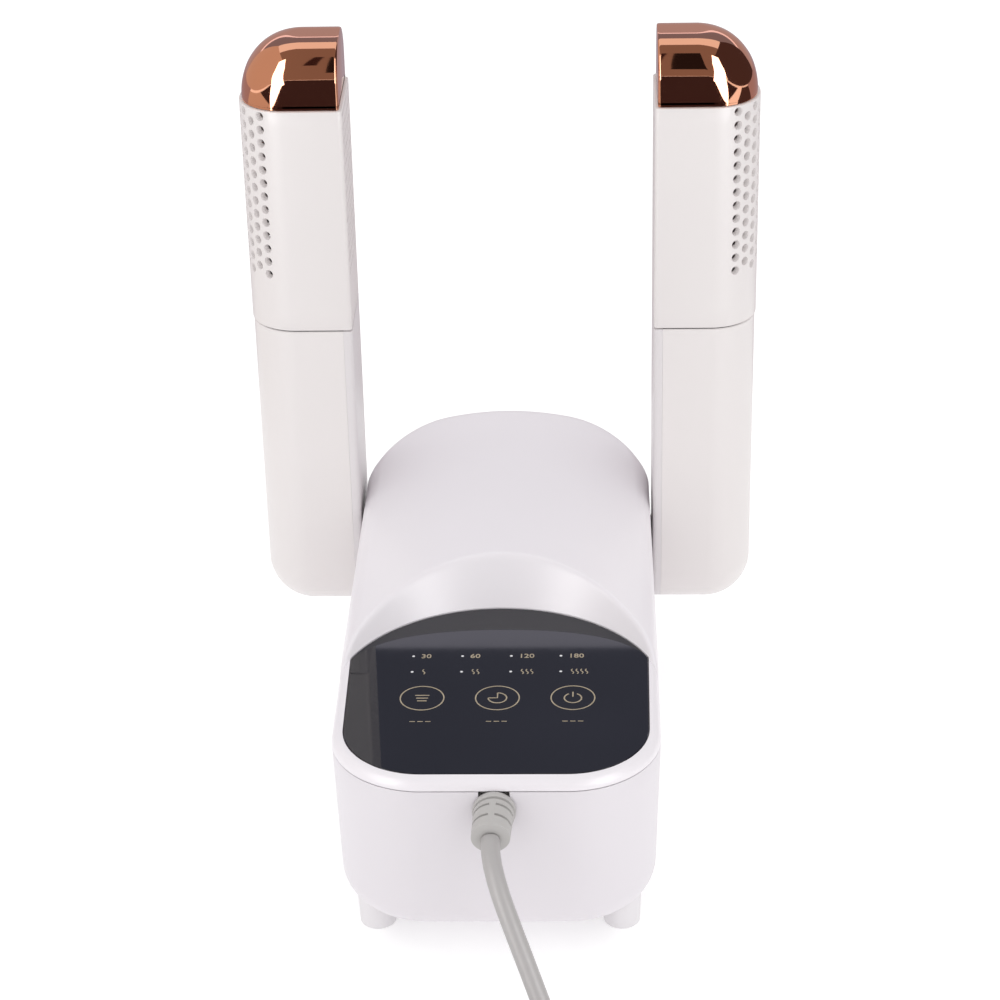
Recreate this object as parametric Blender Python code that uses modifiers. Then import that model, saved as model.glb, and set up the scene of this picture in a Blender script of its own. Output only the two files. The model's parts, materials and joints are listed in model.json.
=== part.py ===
"""Boot dryer: a base with a fan and a heater, and two air arms that fold and telescope.

Units are metres. +Z is up, -Y is the dryer's front, and +X is to the right for someone who faces
its front. The origin is on the surface that the dryer stands on, in the middle of its footprint.
Run it in Blender 4.5.
"""

import math

import bmesh
import bpy
from mathutils import Matrix, Vector

# ---- base ----------------------------------------------------------------------------------
BASE_LENGTH = 0.234
FRONT_HALF_WIDTH = 0.0546
REAR_HALF_WIDTH = 0.0539
TAPER_START_Y = -0.030
FRONT_CORNER = 0.031
REAR_CORNER = 0.030
FLOOR_Z = 0.011
SEAM_Z = 0.070
BOTTOM_ROUNDING = 0.012
DRAFT = math.radians(1.8)
WALL = 0.0024
GAP = 0.0003

# ---- top cover -----------------------------------------------------------------------------
ARCH_TOP_Z = 0.0905
ARCH_RADIUS = 0.115
SHOULDER = 0.0095
DECK_Z = 0.0743
DECK_UNDERSIDE_Z = 0.0712
SCOOP_Y = -0.065
SCOOP_RADIUS = 0.0559
SCOOP_FLARE = 0.685

# ---- control panel -------------------------------------------------------------------------
PANEL_HALF_WIDTH = 0.0512
PANEL_SIDE_X = 0.0507
PANEL_FRONT_Y = -0.1132
PANEL_CORNER = 0.027
PANEL_THICKNESS = 0.0012

# ---- arms ----------------------------------------------------------------------------------
ARM_FRONT_Y = 0.065
ARM_DEPTH = 0.036
ARM_INNER_X = 0.055
ARM_OUTER_X = 0.0924
SLEEVE_OUTER_X = 0.0928
ARM_CORNER = 0.017
ARM_WALL = 0.002
COVER_THICKNESS = 0.003
PIVOT_Y = ARM_FRONT_Y + ARM_DEPTH / 2
PIVOT_Z = 0.046
ARM_TOP_Z = 0.1478
SLEEVE_BOTTOM_Z = 0.1482
SLEEVE_TOP_Z = 0.233
CAP_TOP_Z = 0.256
CAP_INSET = 0.001
CAP_WALL = 0.0018
CAP_EDGE = 0.013
# Width and height of the sweep on a cap's outer side.
CAP_SHOULDER = (0.0186, 0.022)
TUBE_BOTTOM_Z = 0.064
TUBE_TOP_Z = 0.168
TUBE_WALL = 0.0014

HUB_RADIUS = 0.013
HUB_BORE = 0.0108
HUB_FLANGE = 0.0155
HUB_FLANGE_THICKNESS = 0.0025
HUB_INNER_X = 0.0464
HUB_RING_RADIUS = 0.0146
HUB_RING_THICKNESS = 0.0013

# ---- outlet holes in the sleeves -------------------------------------------------------------
HOLE_SIDE = 0.0018
HOLE_PITCH = 0.00507
HOLE_ROWS = 13
HOLE_TOP_Z = 0.2308
HOLE_ANGLE_STEP = 15
HOLE_FIRST_ANGLE = 30
HOLE_LAST_ANGLE = 150

# ---- fan, heater and air path --------------------------------------------------------------
FAN_Y = -0.016
FAN_HALF = 0.040
FAN_BOTTOM_Z = 0.016
FAN_TOP_Z = 0.034
FAN_BORE = 0.0375
FAN_HUB = 0.014
SPOKE_SIZE = (0.0276, 0.003, 0.0014)
SPOKE_REACH = 0.025
BLADES = 7
BLADE_TWIST = math.radians(38)
BLADE_SIZE = (0.024, 0.0135, 0.0011)
BLADE_REACH = 0.0245
HOOD_TOP_Z = 0.056
HOOD_WALL = 0.0016
DUCT_HALF_WIDTH = 0.018
DUCT_LOW_Z = 0.035
DUCT_HIGH_Z = 0.055
HEATER_FRONT_Y = 0.0243
HEATER_REAR_Y = 0.050
# Half sizes of the heater's core plate.
HEATER_CORE = (0.017, 0.007, 0.001)
HEATER_CORE_Y = 0.037
HEATER_FINS = 9
FIN_PITCH = 0.0038
FIN_SIZE = (0.001, 0.012, 0.0156)
CUTOUT_RADIUS = 0.005
CUTOUT_HEIGHT = 0.004
INLET_RADIUS = 0.037
INLET_RIM = 0.004
INLET_BARS = 4
INLET_SLOT = 0.004
INLET_SLOT_PITCH = 0.007

# ---- boards: lowest and highest corner of each block -----------------------------------------
TOUCH_BOARD = ((-0.042, -0.084, 0.0645), (0.042, -0.040, 0.0661))
POWER_BOARD = ((-0.026, -0.108, 0.020), (0.026, -0.062, 0.0216))
RELAY = ((-0.022, -0.102, 0.0210), (-0.006, -0.090, 0.037))
TRANSFORMER = ((0.000, -0.104, 0.0210), (0.020, -0.086, 0.040))
TERMINAL = ((-0.020, -0.082, 0.0210), (0.004, -0.070, 0.031))
CAPACITOR_PLACE = (0.014, -0.074)
CAPACITOR_RADIUS = 0.005
CAPACITOR_TOP_Z = 0.042

# ---- feet and screws -----------------------------------------------------------------------
FOOT_X = 0.0415
FOOT_Y = 0.0911
FOOT_RADIUS = 0.0062
FOOT_TOP_RADIUS = 0.0068
FOOT_LENGTH = 0.016
SCREW_X = 0.033
SCREW_FRONT_Y = -0.100
SCREW_REAR_Y = 0.101
BOSS_RADIUS = 0.0042
BOSS_TOP_Z = 0.050
POST_TOP_Z = 0.0845
BORE_RADIUS = 0.0018
COUNTERBORE_DEPTH = 0.005
SCREW_RADIUS = 0.0015
SCREW_TOP_Z = 0.062
SCREW_HEAD_RADIUS = 0.0031
SCREW_HEAD_HEIGHT = 0.0022

# ---- mains lead ----------------------------------------------------------------------------
CORD_RADIUS = 0.0032
CORD_STEP = 0.007
EXIT_Z = 0.0626
NOTCH_HALF_WIDTH = 0.00525
NOTCH_DEPTH = 0.0054
# From the strain relief to where the lead meets the coil.
LEAD_ROUTE = (
    (-0.0006, -0.1305, 0.0602),
    (0.0001, -0.1381, 0.0578),
    (0.0027, -0.1465, 0.0524),
    (0.0063, -0.1531, 0.0449),
    (0.0112, -0.1610, 0.0346),
    (0.0160, -0.1694, 0.0234),
    (0.0210, -0.1780, 0.0126),
    (0.0250, -0.1876, 0.0058),
    (0.0270, -0.1970, 0.0035),
    (0.0276, -0.2050, 0.0033),
)
# From the coil to the plug.
TAIL_ROUTE = (
    (-0.0369, -0.2692, 0.0052),
    (-0.0460, -0.2686, 0.0036),
    (-0.0580, -0.2646, 0.0033),
    (-0.0690, -0.2562, 0.0033),
    (-0.0762, -0.2450, 0.0038),
    (-0.0786, -0.2360, 0.0060),
    (-0.0790, -0.2295, 0.0072),
    (-0.0790, -0.2240, 0.0073),
)
COIL_CENTRE = (-0.0124, -0.2292)
COIL_INNER = 0.024
COIL_OUTER = 0.0432
COIL_HEIGHT = 0.0128
COIL_EDGE = 0.003
PLUG_HALF_WIDTH = 0.011
PLUG_HALF_HEIGHT = 0.0072
PLUG_LENGTH = 0.033
PLUG_NECK_LENGTH = 0.013
PIN_SPACING = 0.0127
PIN_SIZE = (0.0064, 0.0170, 0.0015)

DRYER = "boot_dryer"


# ---- small tools ---------------------------------------------------------------------------
def clear_scene():
    for obj in list(bpy.data.objects):
        bpy.data.objects.remove(obj, do_unlink=True)


def collection(name):
    made = bpy.data.collections.new(name)
    bpy.context.scene.collection.children.link(made)
    return made


def material(name, colour, roughness, metallic=0.0):
    made = bpy.data.materials.new(name)
    made.use_nodes = True
    shader = made.node_tree.nodes["Principled BSDF"]
    shader.inputs["Base Color"].default_value = (*colour, 1.0)
    shader.inputs["Roughness"].default_value = roughness
    shader.inputs["Metallic"].default_value = metallic
    made.diffuse_color = (*colour, 1.0)
    return made


def place(obj, finish=None):
    """A piece with a finish joins the dryer; one without is a cutter."""
    home = PARTS if finish else CUTTERS
    home.objects.link(obj)
    if finish:
        obj.data.materials.append(finish)
    else:
        obj.hide_render = True
        obj.display_type = "WIRE"
    return obj


def from_bmesh(name, bm, finish=None):
    mesh = bpy.data.meshes.new(name)
    bmesh.ops.recalc_face_normals(bm, faces=bm.faces)
    bm.to_mesh(mesh)
    bm.free()
    return place(bpy.data.objects.new(name, mesh), finish)


def joined(obj, tool, operation="DIFFERENCE"):
    change = obj.modifiers.new(tool.name, "BOOLEAN")
    change.operation = operation
    change.object = tool
    return obj


def box(name, low, high, finish=None):
    bm = bmesh.new()
    bmesh.ops.create_cube(bm, size=1.0)
    size = [b - a for a, b in zip(low, high)]
    middle = [(a + b) / 2 for a, b in zip(low, high)]
    bmesh.ops.scale(bm, vec=size, verts=bm.verts)
    obj = from_bmesh(name, bm, finish)
    obj.location = middle
    return obj


AXIS_TURN = {
    "X": Matrix(((0, 0, 1), (1, 0, 0), (0, 1, 0))).to_4x4(),
    "Y": Matrix(((1, 0, 0), (0, 0, -1), (0, 1, 0))).to_4x4(),
    "Z": Matrix.Identity(4),
}


def cylinder(name, radius, low, high, centre, axis="Z", finish=None, sides=32, top_radius=None):
    """A cylinder or cone along an axis; centre is its place on the other two axes, in order."""
    bm = bmesh.new()
    bmesh.ops.create_cone(
        bm,
        cap_ends=True,
        segments=sides,
        radius1=radius,
        radius2=radius if top_radius is None else top_radius,
        depth=high - low,
    )
    obj = from_bmesh(name, bm, finish)
    along = (low + high) / 2
    where = {"X": (along, *centre), "Y": (centre[0], along, centre[1]), "Z": (*centre, along)}
    flip = Matrix.Rotation(math.pi, 4, "X") if axis == "Y" else Matrix.Identity(4)
    obj.matrix_world = Matrix.Translation(where[axis]) @ AXIS_TURN[axis] @ flip
    smooth(obj)
    return obj


def smooth(obj):
    obj.data.shade_smooth()
    obj.data.set_sharp_from_angle(angle=math.radians(35))


def curve_mesh(name, curve):
    """The curve's surface as a mesh, with its caps welded on."""
    guide = bpy.data.objects.new(name + "_curve", curve)
    bpy.context.scene.collection.objects.link(guide)
    bpy.context.view_layer.update()
    evaluated = guide.evaluated_get(bpy.context.evaluated_depsgraph_get())
    mesh = bpy.data.meshes.new_from_object(evaluated)
    bpy.data.objects.remove(guide, do_unlink=True)
    bm = bmesh.new()
    bm.from_mesh(mesh)
    bmesh.ops.remove_doubles(bm, verts=bm.verts, dist=0.000001)
    return bm


def plate(name, outline, low, high, axis="Z", finish=None):
    """A flat outline given thickness along an axis, from low to high."""
    curve = bpy.data.curves.new(name, "CURVE")
    curve.dimensions = "2D"
    curve.fill_mode = "BOTH"
    curve.extrude = (high - low) / 2
    spline = curve.splines.new("POLY")
    spline.points.add(len(outline) - 1)
    for point, (a, b) in zip(spline.points, outline):
        point.co = (a, b, 0, 1)
    spline.use_cyclic_u = True
    obj = from_bmesh(name, curve_mesh(name, curve), finish)
    middle = (low + high) / 2
    where = Vector([middle if axis == letter else 0 for letter in "XYZ"])
    obj.matrix_world = Matrix.Translation(where) @ AXIS_TURN[axis]
    return obj


def arc(centre, radius, start, end, steps):
    """Points on an arc, angles in degrees."""
    turns = [math.radians(start + (end - start) * i / steps) for i in range(steps + 1)]
    return [(centre[0] + radius * math.cos(t), centre[1] + radius * math.sin(t)) for t in turns]


def turned(name, profile, steps, matrix, finish=None, closed=False):
    """A profile of (radius, height) pairs, its outer side top to bottom, turned about an axis."""
    mesh = bpy.data.meshes.new(name)
    edges = [(i, i + 1) for i in range(len(profile) - 1)]
    if closed:
        edges.append((len(profile) - 1, 0))
    mesh.from_pydata([(r, 0, h) for r, h in profile], edges, [])
    obj = place(bpy.data.objects.new(name, mesh), finish)
    obj.matrix_world = matrix
    screw = obj.modifiers.new("Turn", "SCREW")
    screw.steps = steps
    screw.render_steps = steps
    screw.use_merge_vertices = True
    screw.merge_threshold = 0.00001
    return obj


def along_x(side, y, z):
    """A turning axis that points away from the dryer's middle plane."""
    turn = Matrix.Rotation(side * math.pi / 2, 4, "Y")
    return Matrix.Translation((0, y, z)) @ turn


def mirrored(outline, side):
    return [(side * x, y) for x, y in outline]


def pivot(name, location):
    empty = bpy.data.objects.new(name, None)
    empty.location = location
    empty.empty_display_size = 0.02
    PARTS.objects.link(empty)
    return empty


def hang(parent, parent_place, *pieces):
    """Parents pieces to an empty and leaves them where they are."""
    back = Matrix.Translation(parent_place).inverted()
    for piece in pieces:
        piece.parent = parent
        piece.matrix_parent_inverse = back


# ---- base shells ---------------------------------------------------------------------------
def footprint(inset=0.0):
    """The base's plan outline, anticlockwise, its sides a little narrower at the rear."""
    front_w = FRONT_HALF_WIDTH - inset
    rear_w = REAR_HALF_WIDTH - inset
    front = -BASE_LENGTH / 2 + inset
    rear = BASE_LENGTH / 2 - inset
    front_r = FRONT_CORNER - inset
    rear_r = REAR_CORNER - inset
    right = arc((front_w - front_r, front + front_r), front_r, -90, 0, 8)
    right.append((front_w, TAPER_START_Y))
    right += arc((rear_w - rear_r, rear - rear_r), rear_r, 0, 90, 8)
    return right + [(-x, y) for x, y in reversed(right)]


def tub(name, inset, floor, top, finish=None):
    """The base's lower body: drafted walls and a rounded bottom edge."""
    obj = plate(name, footprint(inset), floor, top, "Z")
    bm = bmesh.new()
    bm.from_mesh(obj.data)
    bmesh.ops.translate(bm, vec=obj.location, verts=bm.verts)
    rim = []
    for edge in bm.edges:
        at_floor = all(abs(v.co.z - floor) < 1e-5 for v in edge.verts)
        if at_floor and not all(abs(f.normal.z) > 0.5 for f in edge.link_faces):
            rim.append(edge)
    bmesh.ops.bevel(
        bm,
        geom=rim,
        offset=BOTTOM_ROUNDING - inset,
        segments=4,
        profile=0.5,
        affect="EDGES",
        clamp_overlap=False,
    )
    for vert in bm.verts:
        drop = max(0.0, SEAM_Z - vert.co.z) * math.tan(DRAFT)
        vert.co.x *= 1 - drop / FRONT_HALF_WIDTH
        vert.co.y *= 1 - drop / (BASE_LENGTH / 2)
    bpy.data.objects.remove(obj, do_unlink=True)
    return from_bmesh(name, bm, finish)


def screw_places():
    return [(s * SCREW_X, y) for y in (SCREW_FRONT_Y, SCREW_REAR_Y) for s in (-1, 1)]


def lower_shell(finish):
    shell = tub("lower_shell", 0.0, FLOOR_Z, SEAM_Z - GAP, finish)
    joined(shell, tub("lower_cavity", WALL, FLOOR_Z + WALL, SEAM_Z + 0.01))
    under = FLOOR_Z - 0.01
    for i, spot in enumerate(screw_places()):
        boss = cylinder(f"boss_{i}", BOSS_RADIUS, FLOOR_Z + 0.001, BOSS_TOP_Z, spot, sides=12)
        joined(shell, boss, "UNION")
    for i, spot in enumerate(screw_places()):
        joined(shell, cylinder(f"bore_{i}", BORE_RADIUS, under, SEAM_Z, spot, sides=10))
        head = SCREW_HEAD_RADIUS + GAP
        seat_z = FLOOR_Z + COUNTERBORE_DEPTH
        joined(shell, cylinder(f"counterbore_{i}", head, under, seat_z, spot, sides=12))
    cross = (PIVOT_Y, PIVOT_Z)
    joined(shell, cylinder("hub_holes", HUB_RADIUS + GAP, -0.07, 0.07, cross, "X", sides=24))
    joined(shell, cylinder("inlet_hole", INLET_RADIUS, under, FLOOR_Z + 0.01, (0, FAN_Y)))
    notch_low = (-NOTCH_HALF_WIDTH, -0.13, EXIT_Z - NOTCH_DEPTH)
    joined(shell, box("cord_notch", notch_low, (NOTCH_HALF_WIDTH, -0.10, SEAM_Z + 0.01)))
    return shell


def arch_outline(inset, bottom):
    """The top cover's cross-section: a shallow arch, rounded shoulders and upright walls."""
    half = FRONT_HALF_WIDTH - inset
    big = ARCH_RADIUS - inset
    small = SHOULDER - inset
    low_centre = ARCH_TOP_Z - ARCH_RADIUS
    shoulder_x = half - small
    shoulder_z = low_centre + math.sqrt((big - small) ** 2 - shoulder_x**2)
    lean = math.degrees(math.atan2(shoulder_z - low_centre, shoulder_x))
    right = [(half, bottom)]
    right += arc((shoulder_x, shoulder_z), small, 0, lean, 4)
    right += arc((0, low_centre), big, lean, 90, 8)[1:]
    return right + [(-x, z) for x, z in reversed(right[:-1])]


def arch_block(name, inset, bottom, finish=None):
    half = BASE_LENGTH / 2 - inset
    block = plate(name, arch_outline(inset, bottom), -half, half, "Y", finish)
    plan = plate(name + "_plan", footprint(inset), bottom - 0.01, ARCH_TOP_Z + 0.01, "Z")
    return joined(block, plan, "INTERSECT")


def scoop(block, name, floor, extra):
    """Cuts the round-backed scoop that leaves the flat front deck."""
    top = ARCH_TOP_Z + 0.01
    radius = SCOOP_RADIUS + extra + (floor - DECK_Z) * SCOOP_FLARE
    flared = radius + (top - floor) * SCOOP_FLARE
    cone = cylinder(name + "_cone", radius, floor, top, (0, SCOOP_Y), sides=64, top_radius=flared)
    front = box(name + "_front", (-0.08, -0.14, floor), (0.08, SCOOP_Y, top))
    joined(block, cone)
    return joined(block, front)


def upper_shell(finish):
    shell = scoop(arch_block("upper_shell", 0.0, SEAM_Z, finish), "scoop", DECK_Z, 0.0)
    cavity = arch_block("upper_cavity", WALL, SEAM_Z - 0.01)
    joined(shell, scoop(cavity, "scoop_back", DECK_UNDERSIDE_Z, WALL))
    for i, (x, y) in enumerate(screw_places()):
        roof = DECK_UNDERSIDE_Z + 0.0011 if y < 0 else POST_TOP_Z
        post = cylinder(f"post_{i}", BOSS_RADIUS, BOSS_TOP_Z + GAP, roof, (x, y), sides=12)
        joined(shell, post, "UNION")
    thread_top = SCREW_TOP_Z + 0.004
    for i, spot in enumerate(screw_places()):
        joined(shell, cylinder(f"thread_{i}", BORE_RADIUS, BOSS_TOP_Z - 0.001, thread_top, spot, sides=10))
    joined(shell, plate("panel_recess", panel_outline(GAP), DECK_Z - PANEL_THICKNESS - GAP, 0.09))
    return shell


def panel_outline(margin=0.0):
    """Round-backed like the scoop, with straight sides and large front corners."""
    radius = SCOOP_RADIUS + margin
    half = PANEL_HALF_WIDTH + margin
    end = math.degrees(math.acos(half / radius))
    corner = PANEL_CORNER + margin
    side_x = PANEL_SIDE_X + margin
    front_y = PANEL_FRONT_Y - margin
    centre = (side_x - corner, front_y + corner)
    right = arc(centre, corner, -90, 0, 8)
    right += arc((0, SCOOP_Y), radius, end, 90, 12)
    return right + [(-x, y) for x, y in reversed(right[:-1])]


def inlet_grille(finish):
    low, high = FLOOR_Z, FLOOR_Z + WALL
    grille = cylinder("inlet_grille", INLET_RADIUS - GAP, low, high, (0, FAN_Y), finish=finish)
    slots = bmesh.new()
    reach = INLET_RADIUS - INLET_RIM
    for i in range(-INLET_BARS, INLET_BARS + 1):
        x = i * INLET_SLOT_PITCH
        half = math.sqrt(reach**2 - (abs(x) + INLET_SLOT / 2) ** 2)
        place_it = Matrix.Translation((x, FAN_Y, low))
        shape = Matrix.Diagonal((INLET_SLOT, 2 * half, 0.02, 1))
        bmesh.ops.create_cube(slots, size=1.0, matrix=place_it @ shape)
    return joined(grille, from_bmesh("grille_slots", slots))


# ---- feet, screws and electronics ----------------------------------------------------------
def feet(finish):
    clear = tub("foot_seat", -GAP, FLOOR_Z - GAP, SEAM_Z)
    for end, sy in (("front", -1), ("rear", 1)):
        for hand, sx in (("left", -1), ("right", 1)):
            foot = cylinder(
                f"{end}_{hand}_foot",
                FOOT_RADIUS,
                0.0,
                FOOT_LENGTH,
                (sx * FOOT_X, sy * FOOT_Y),
                finish=finish,
                sides=20,
                top_radius=FOOT_TOP_RADIUS,
            )
            joined(foot, clear)


def case_screws(finish):
    under = FLOOR_Z + COUNTERBORE_DEPTH - GAP
    profile = [
        (0, SCREW_TOP_Z),
        (SCREW_RADIUS, SCREW_TOP_Z),
        (SCREW_RADIUS, under),
        (SCREW_HEAD_RADIUS, under),
        (SCREW_HEAD_RADIUS, under - SCREW_HEAD_HEIGHT),
        (0, under - SCREW_HEAD_HEIGHT),
    ]
    for i, (x, y) in enumerate(screw_places()):
        turned(f"case_screw_{i + 1}", profile, 10, Matrix.Translation((x, y, 0)), finish)


def power_board(finish):
    board = box("power_board", *POWER_BOARD, finish)
    for name, corners in (("relay", RELAY), ("transformer", TRANSFORMER), ("terminal", TERMINAL)):
        joined(board, box(name, *corners), "UNION")
    low_z = RELAY[0][2]
    can = cylinder("capacitor", CAPACITOR_RADIUS, low_z, CAPACITOR_TOP_Z, CAPACITOR_PLACE, sides=16)
    return joined(board, can, "UNION")


# ---- fan, heater and ducts -----------------------------------------------------------------
def fan(frame_finish, motor_finish, blade_finish):
    low = (-FAN_HALF, FAN_Y - FAN_HALF, FAN_BOTTOM_Z)
    high = (FAN_HALF, FAN_Y + FAN_HALF, FAN_TOP_Z)
    frame = box("fan_frame", low, high, frame_finish)
    joined(frame, cylinder("fan_bore", FAN_BORE, 0.0, 0.08, (0, FAN_Y), sides=32))
    seat_top = FAN_BOTTOM_Z + 0.002
    spokes = bmesh.new()
    for i in range(3):
        turn = Matrix.Rotation(math.radians(30 + 120 * i), 4, "Z")
        shift = Matrix.Translation((SPOKE_REACH, 0, (FAN_BOTTOM_Z + seat_top) / 2))
        shape = Matrix.Diagonal((*SPOKE_SIZE, 1))
        spot = Matrix.Translation((0, FAN_Y, 0))
        bmesh.ops.create_cube(spokes, size=1.0, matrix=spot @ turn @ shift @ shape)
    seat_low = FAN_BOTTOM_Z + 0.0001
    seat = cylinder("motor_seat", FAN_HUB - 0.001, seat_low, seat_top, (0, FAN_Y), sides=20)
    joined(seat, from_bmesh("fan_spokes", spokes), "UNION")
    joined(frame, seat, "UNION")

    motor_top = seat_top + 0.003
    motor_low = seat_top + GAP
    cylinder("fan_motor", FAN_HUB - 0.001, motor_low, motor_top, (0, FAN_Y), finish=motor_finish, sides=20)

    hub_low = motor_top + GAP
    hub_high = FAN_TOP_Z - 0.001
    hub = cylinder("fan_impeller", FAN_HUB, hub_low, hub_high, (0, FAN_Y), finish=blade_finish, sides=21)
    blades = bmesh.new()
    middle = (hub_low + hub_high) / 2
    for i in range(BLADES):
        turn = Matrix.Rotation(2 * math.pi * i / BLADES, 4, "Z")
        shift = Matrix.Translation((BLADE_REACH, 0, middle))
        tilt = Matrix.Rotation(BLADE_TWIST, 4, "X")
        shape = Matrix.Diagonal((*BLADE_SIZE, 1))
        spot = Matrix.Translation((0, FAN_Y, 0))
        bmesh.ops.create_cube(blades, size=1.0, matrix=spot @ turn @ shift @ tilt @ shape)
    joined(hub, from_bmesh("fan_blades", blades), "UNION")
    axis = (0, FAN_Y, hub_low)
    hang(pivot("fan_axis", axis), axis, hub)


def fan_hood(finish):
    low = (-FAN_HALF, FAN_Y - FAN_HALF, FAN_TOP_Z + GAP)
    high = (FAN_HALF, FAN_Y + FAN_HALF, HOOD_TOP_Z)
    hood = box("fan_hood", low, high, finish)
    inner_low = (low[0] + HOOD_WALL, low[1] + HOOD_WALL, 0.0)
    inner_high = (high[0] - HOOD_WALL, high[1] - HOOD_WALL, HOOD_TOP_Z - HOOD_WALL)
    joined(hood, box("hood_inside", inner_low, inner_high))
    window_low = (-DUCT_HALF_WIDTH, 0.0, DUCT_LOW_Z + HOOD_WALL)
    window_high = (DUCT_HALF_WIDTH, 0.04, DUCT_HIGH_Z - HOOD_WALL)
    return joined(hood, box("hood_window", window_low, window_high))


def heater(frame_finish, fin_finish, cutout_finish):
    half = DUCT_HALF_WIDTH + HOOD_WALL
    low = (-half, HEATER_FRONT_Y, DUCT_LOW_Z)
    high = (half, HEATER_REAR_Y, DUCT_HIGH_Z)
    frame = box("heater_frame", low, high, frame_finish)
    inner_low = (-DUCT_HALF_WIDTH, 0.0, DUCT_LOW_Z + HOOD_WALL)
    inner_high = (DUCT_HALF_WIDTH, 0.08, DUCT_HIGH_Z - HOOD_WALL)
    joined(frame, box("heater_inside", inner_low, inner_high))

    middle = (0, HEATER_CORE_Y, (DUCT_LOW_Z + DUCT_HIGH_Z) / 2)
    core_low = [m - half for m, half in zip(middle, HEATER_CORE)]
    core_high = [m + half for m, half in zip(middle, HEATER_CORE)]
    core = box("heater_element", core_low, core_high, fin_finish)
    fins = bmesh.new()
    for i in range(HEATER_FINS):
        x = (i - (HEATER_FINS - 1) / 2) * FIN_PITCH
        spot = Matrix.Translation((x, *middle[1:]))
        bmesh.ops.create_cube(fins, size=1.0, matrix=spot @ Matrix.Diagonal((*FIN_SIZE, 1)))
    joined(core, from_bmesh("heater_fins", fins), "UNION")

    low_z = DUCT_HIGH_Z + GAP
    high_z = low_z + CUTOUT_HEIGHT
    spot = (0, HEATER_CORE_Y)
    cylinder("thermal_cutout", CUTOUT_RADIUS, low_z, high_z, spot, finish=cutout_finish, sides=20)


def air_manifold(finish):
    half = DUCT_HALF_WIDTH + HOOD_WALL
    end = HUB_INNER_X - GAP
    front_y = HEATER_REAR_Y + GAP
    duct = box("air_manifold", (-half, front_y, DUCT_LOW_Z), (half, PIVOT_Y, DUCT_HIGH_Z), finish)
    cross = (PIVOT_Y, PIVOT_Z)
    joined(duct, cylinder("cross_tube", HUB_RADIUS - GAP, -end, end, cross, "X", sides=24), "UNION")
    inner_low = (-DUCT_HALF_WIDTH, 0.04, DUCT_LOW_Z + HOOD_WALL)
    inner_high = (DUCT_HALF_WIDTH, PIVOT_Y, DUCT_HIGH_Z - HOOD_WALL)
    joined(duct, box("duct_inside", inner_low, inner_high))
    return joined(duct, cylinder("cross_bore", HUB_BORE, -0.07, 0.07, cross, "X", sides=24))


# ---- arms ----------------------------------------------------------------------------------
def d_outline(inner_x, outer_x, inset=0.0):
    """An arm's plan: flat inner side, round outer side, and a facet for each hole column."""
    front = ARM_FRONT_Y + inset
    rear = ARM_FRONT_Y + ARM_DEPTH - inset
    radius = ARM_CORNER - inset
    outer = outer_x - inset
    half_step = HOLE_ANGLE_STEP / 2
    angles = [0] + [half_step + HOLE_ANGLE_STEP * i for i in range(6)] + [90]
    points = [(inner_x, front)]
    for angle in angles:
        t = math.radians(angle)
        points.append((outer - radius + radius * math.sin(t), front + radius - radius * math.cos(t)))
    for angle in reversed(angles):
        t = math.radians(angle)
        points.append((outer - radius + radius * math.sin(t), rear - radius + radius * math.cos(t)))
    points.append((inner_x, rear))
    return points


def capsule_outline(radius, top):
    """An arm's side view: round at the pivot, straight above it."""
    right = arc((PIVOT_Y, PIVOT_Z), radius, -180, 0, 16)
    return right + [(PIVOT_Y + radius, top), (PIVOT_Y - radius, top)]


def arm_block(name, side, inner_x, inset, top, finish=None):
    """The lower arm's body, rounded at its foot in side view and in front view."""
    outer = ARM_OUTER_X
    plan = mirrored(d_outline(inner_x, outer, inset), side)
    block = plate(name, plan, 0.02, top, "Z", finish)
    span = sorted((side * (inner_x - 0.01), side * (outer + 0.01)))
    round_end = capsule_outline(ARM_DEPTH / 2 - inset, top + 0.01)
    joined(block, plate(name + "_round", round_end, *span, axis="X"), "INTERSECT")
    foot_z = PIVOT_Z - ARM_DEPTH / 2 + inset
    radius = ARM_CORNER - inset
    edge = outer - inset
    corner = [(inner_x - 0.01, foot_z)]
    corner += arc((edge - radius, foot_z + radius), radius, -90, 0, 8)
    corner += [(edge + 0.0001, top + 0.01), (inner_x - 0.01, top + 0.01)]
    reach = (ARM_FRONT_Y - 0.01, ARM_FRONT_Y + ARM_DEPTH + 0.01)
    return joined(block, plate(name + "_corner", mirrored(corner, side), *reach, axis="Y"), "INTERSECT")


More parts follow.
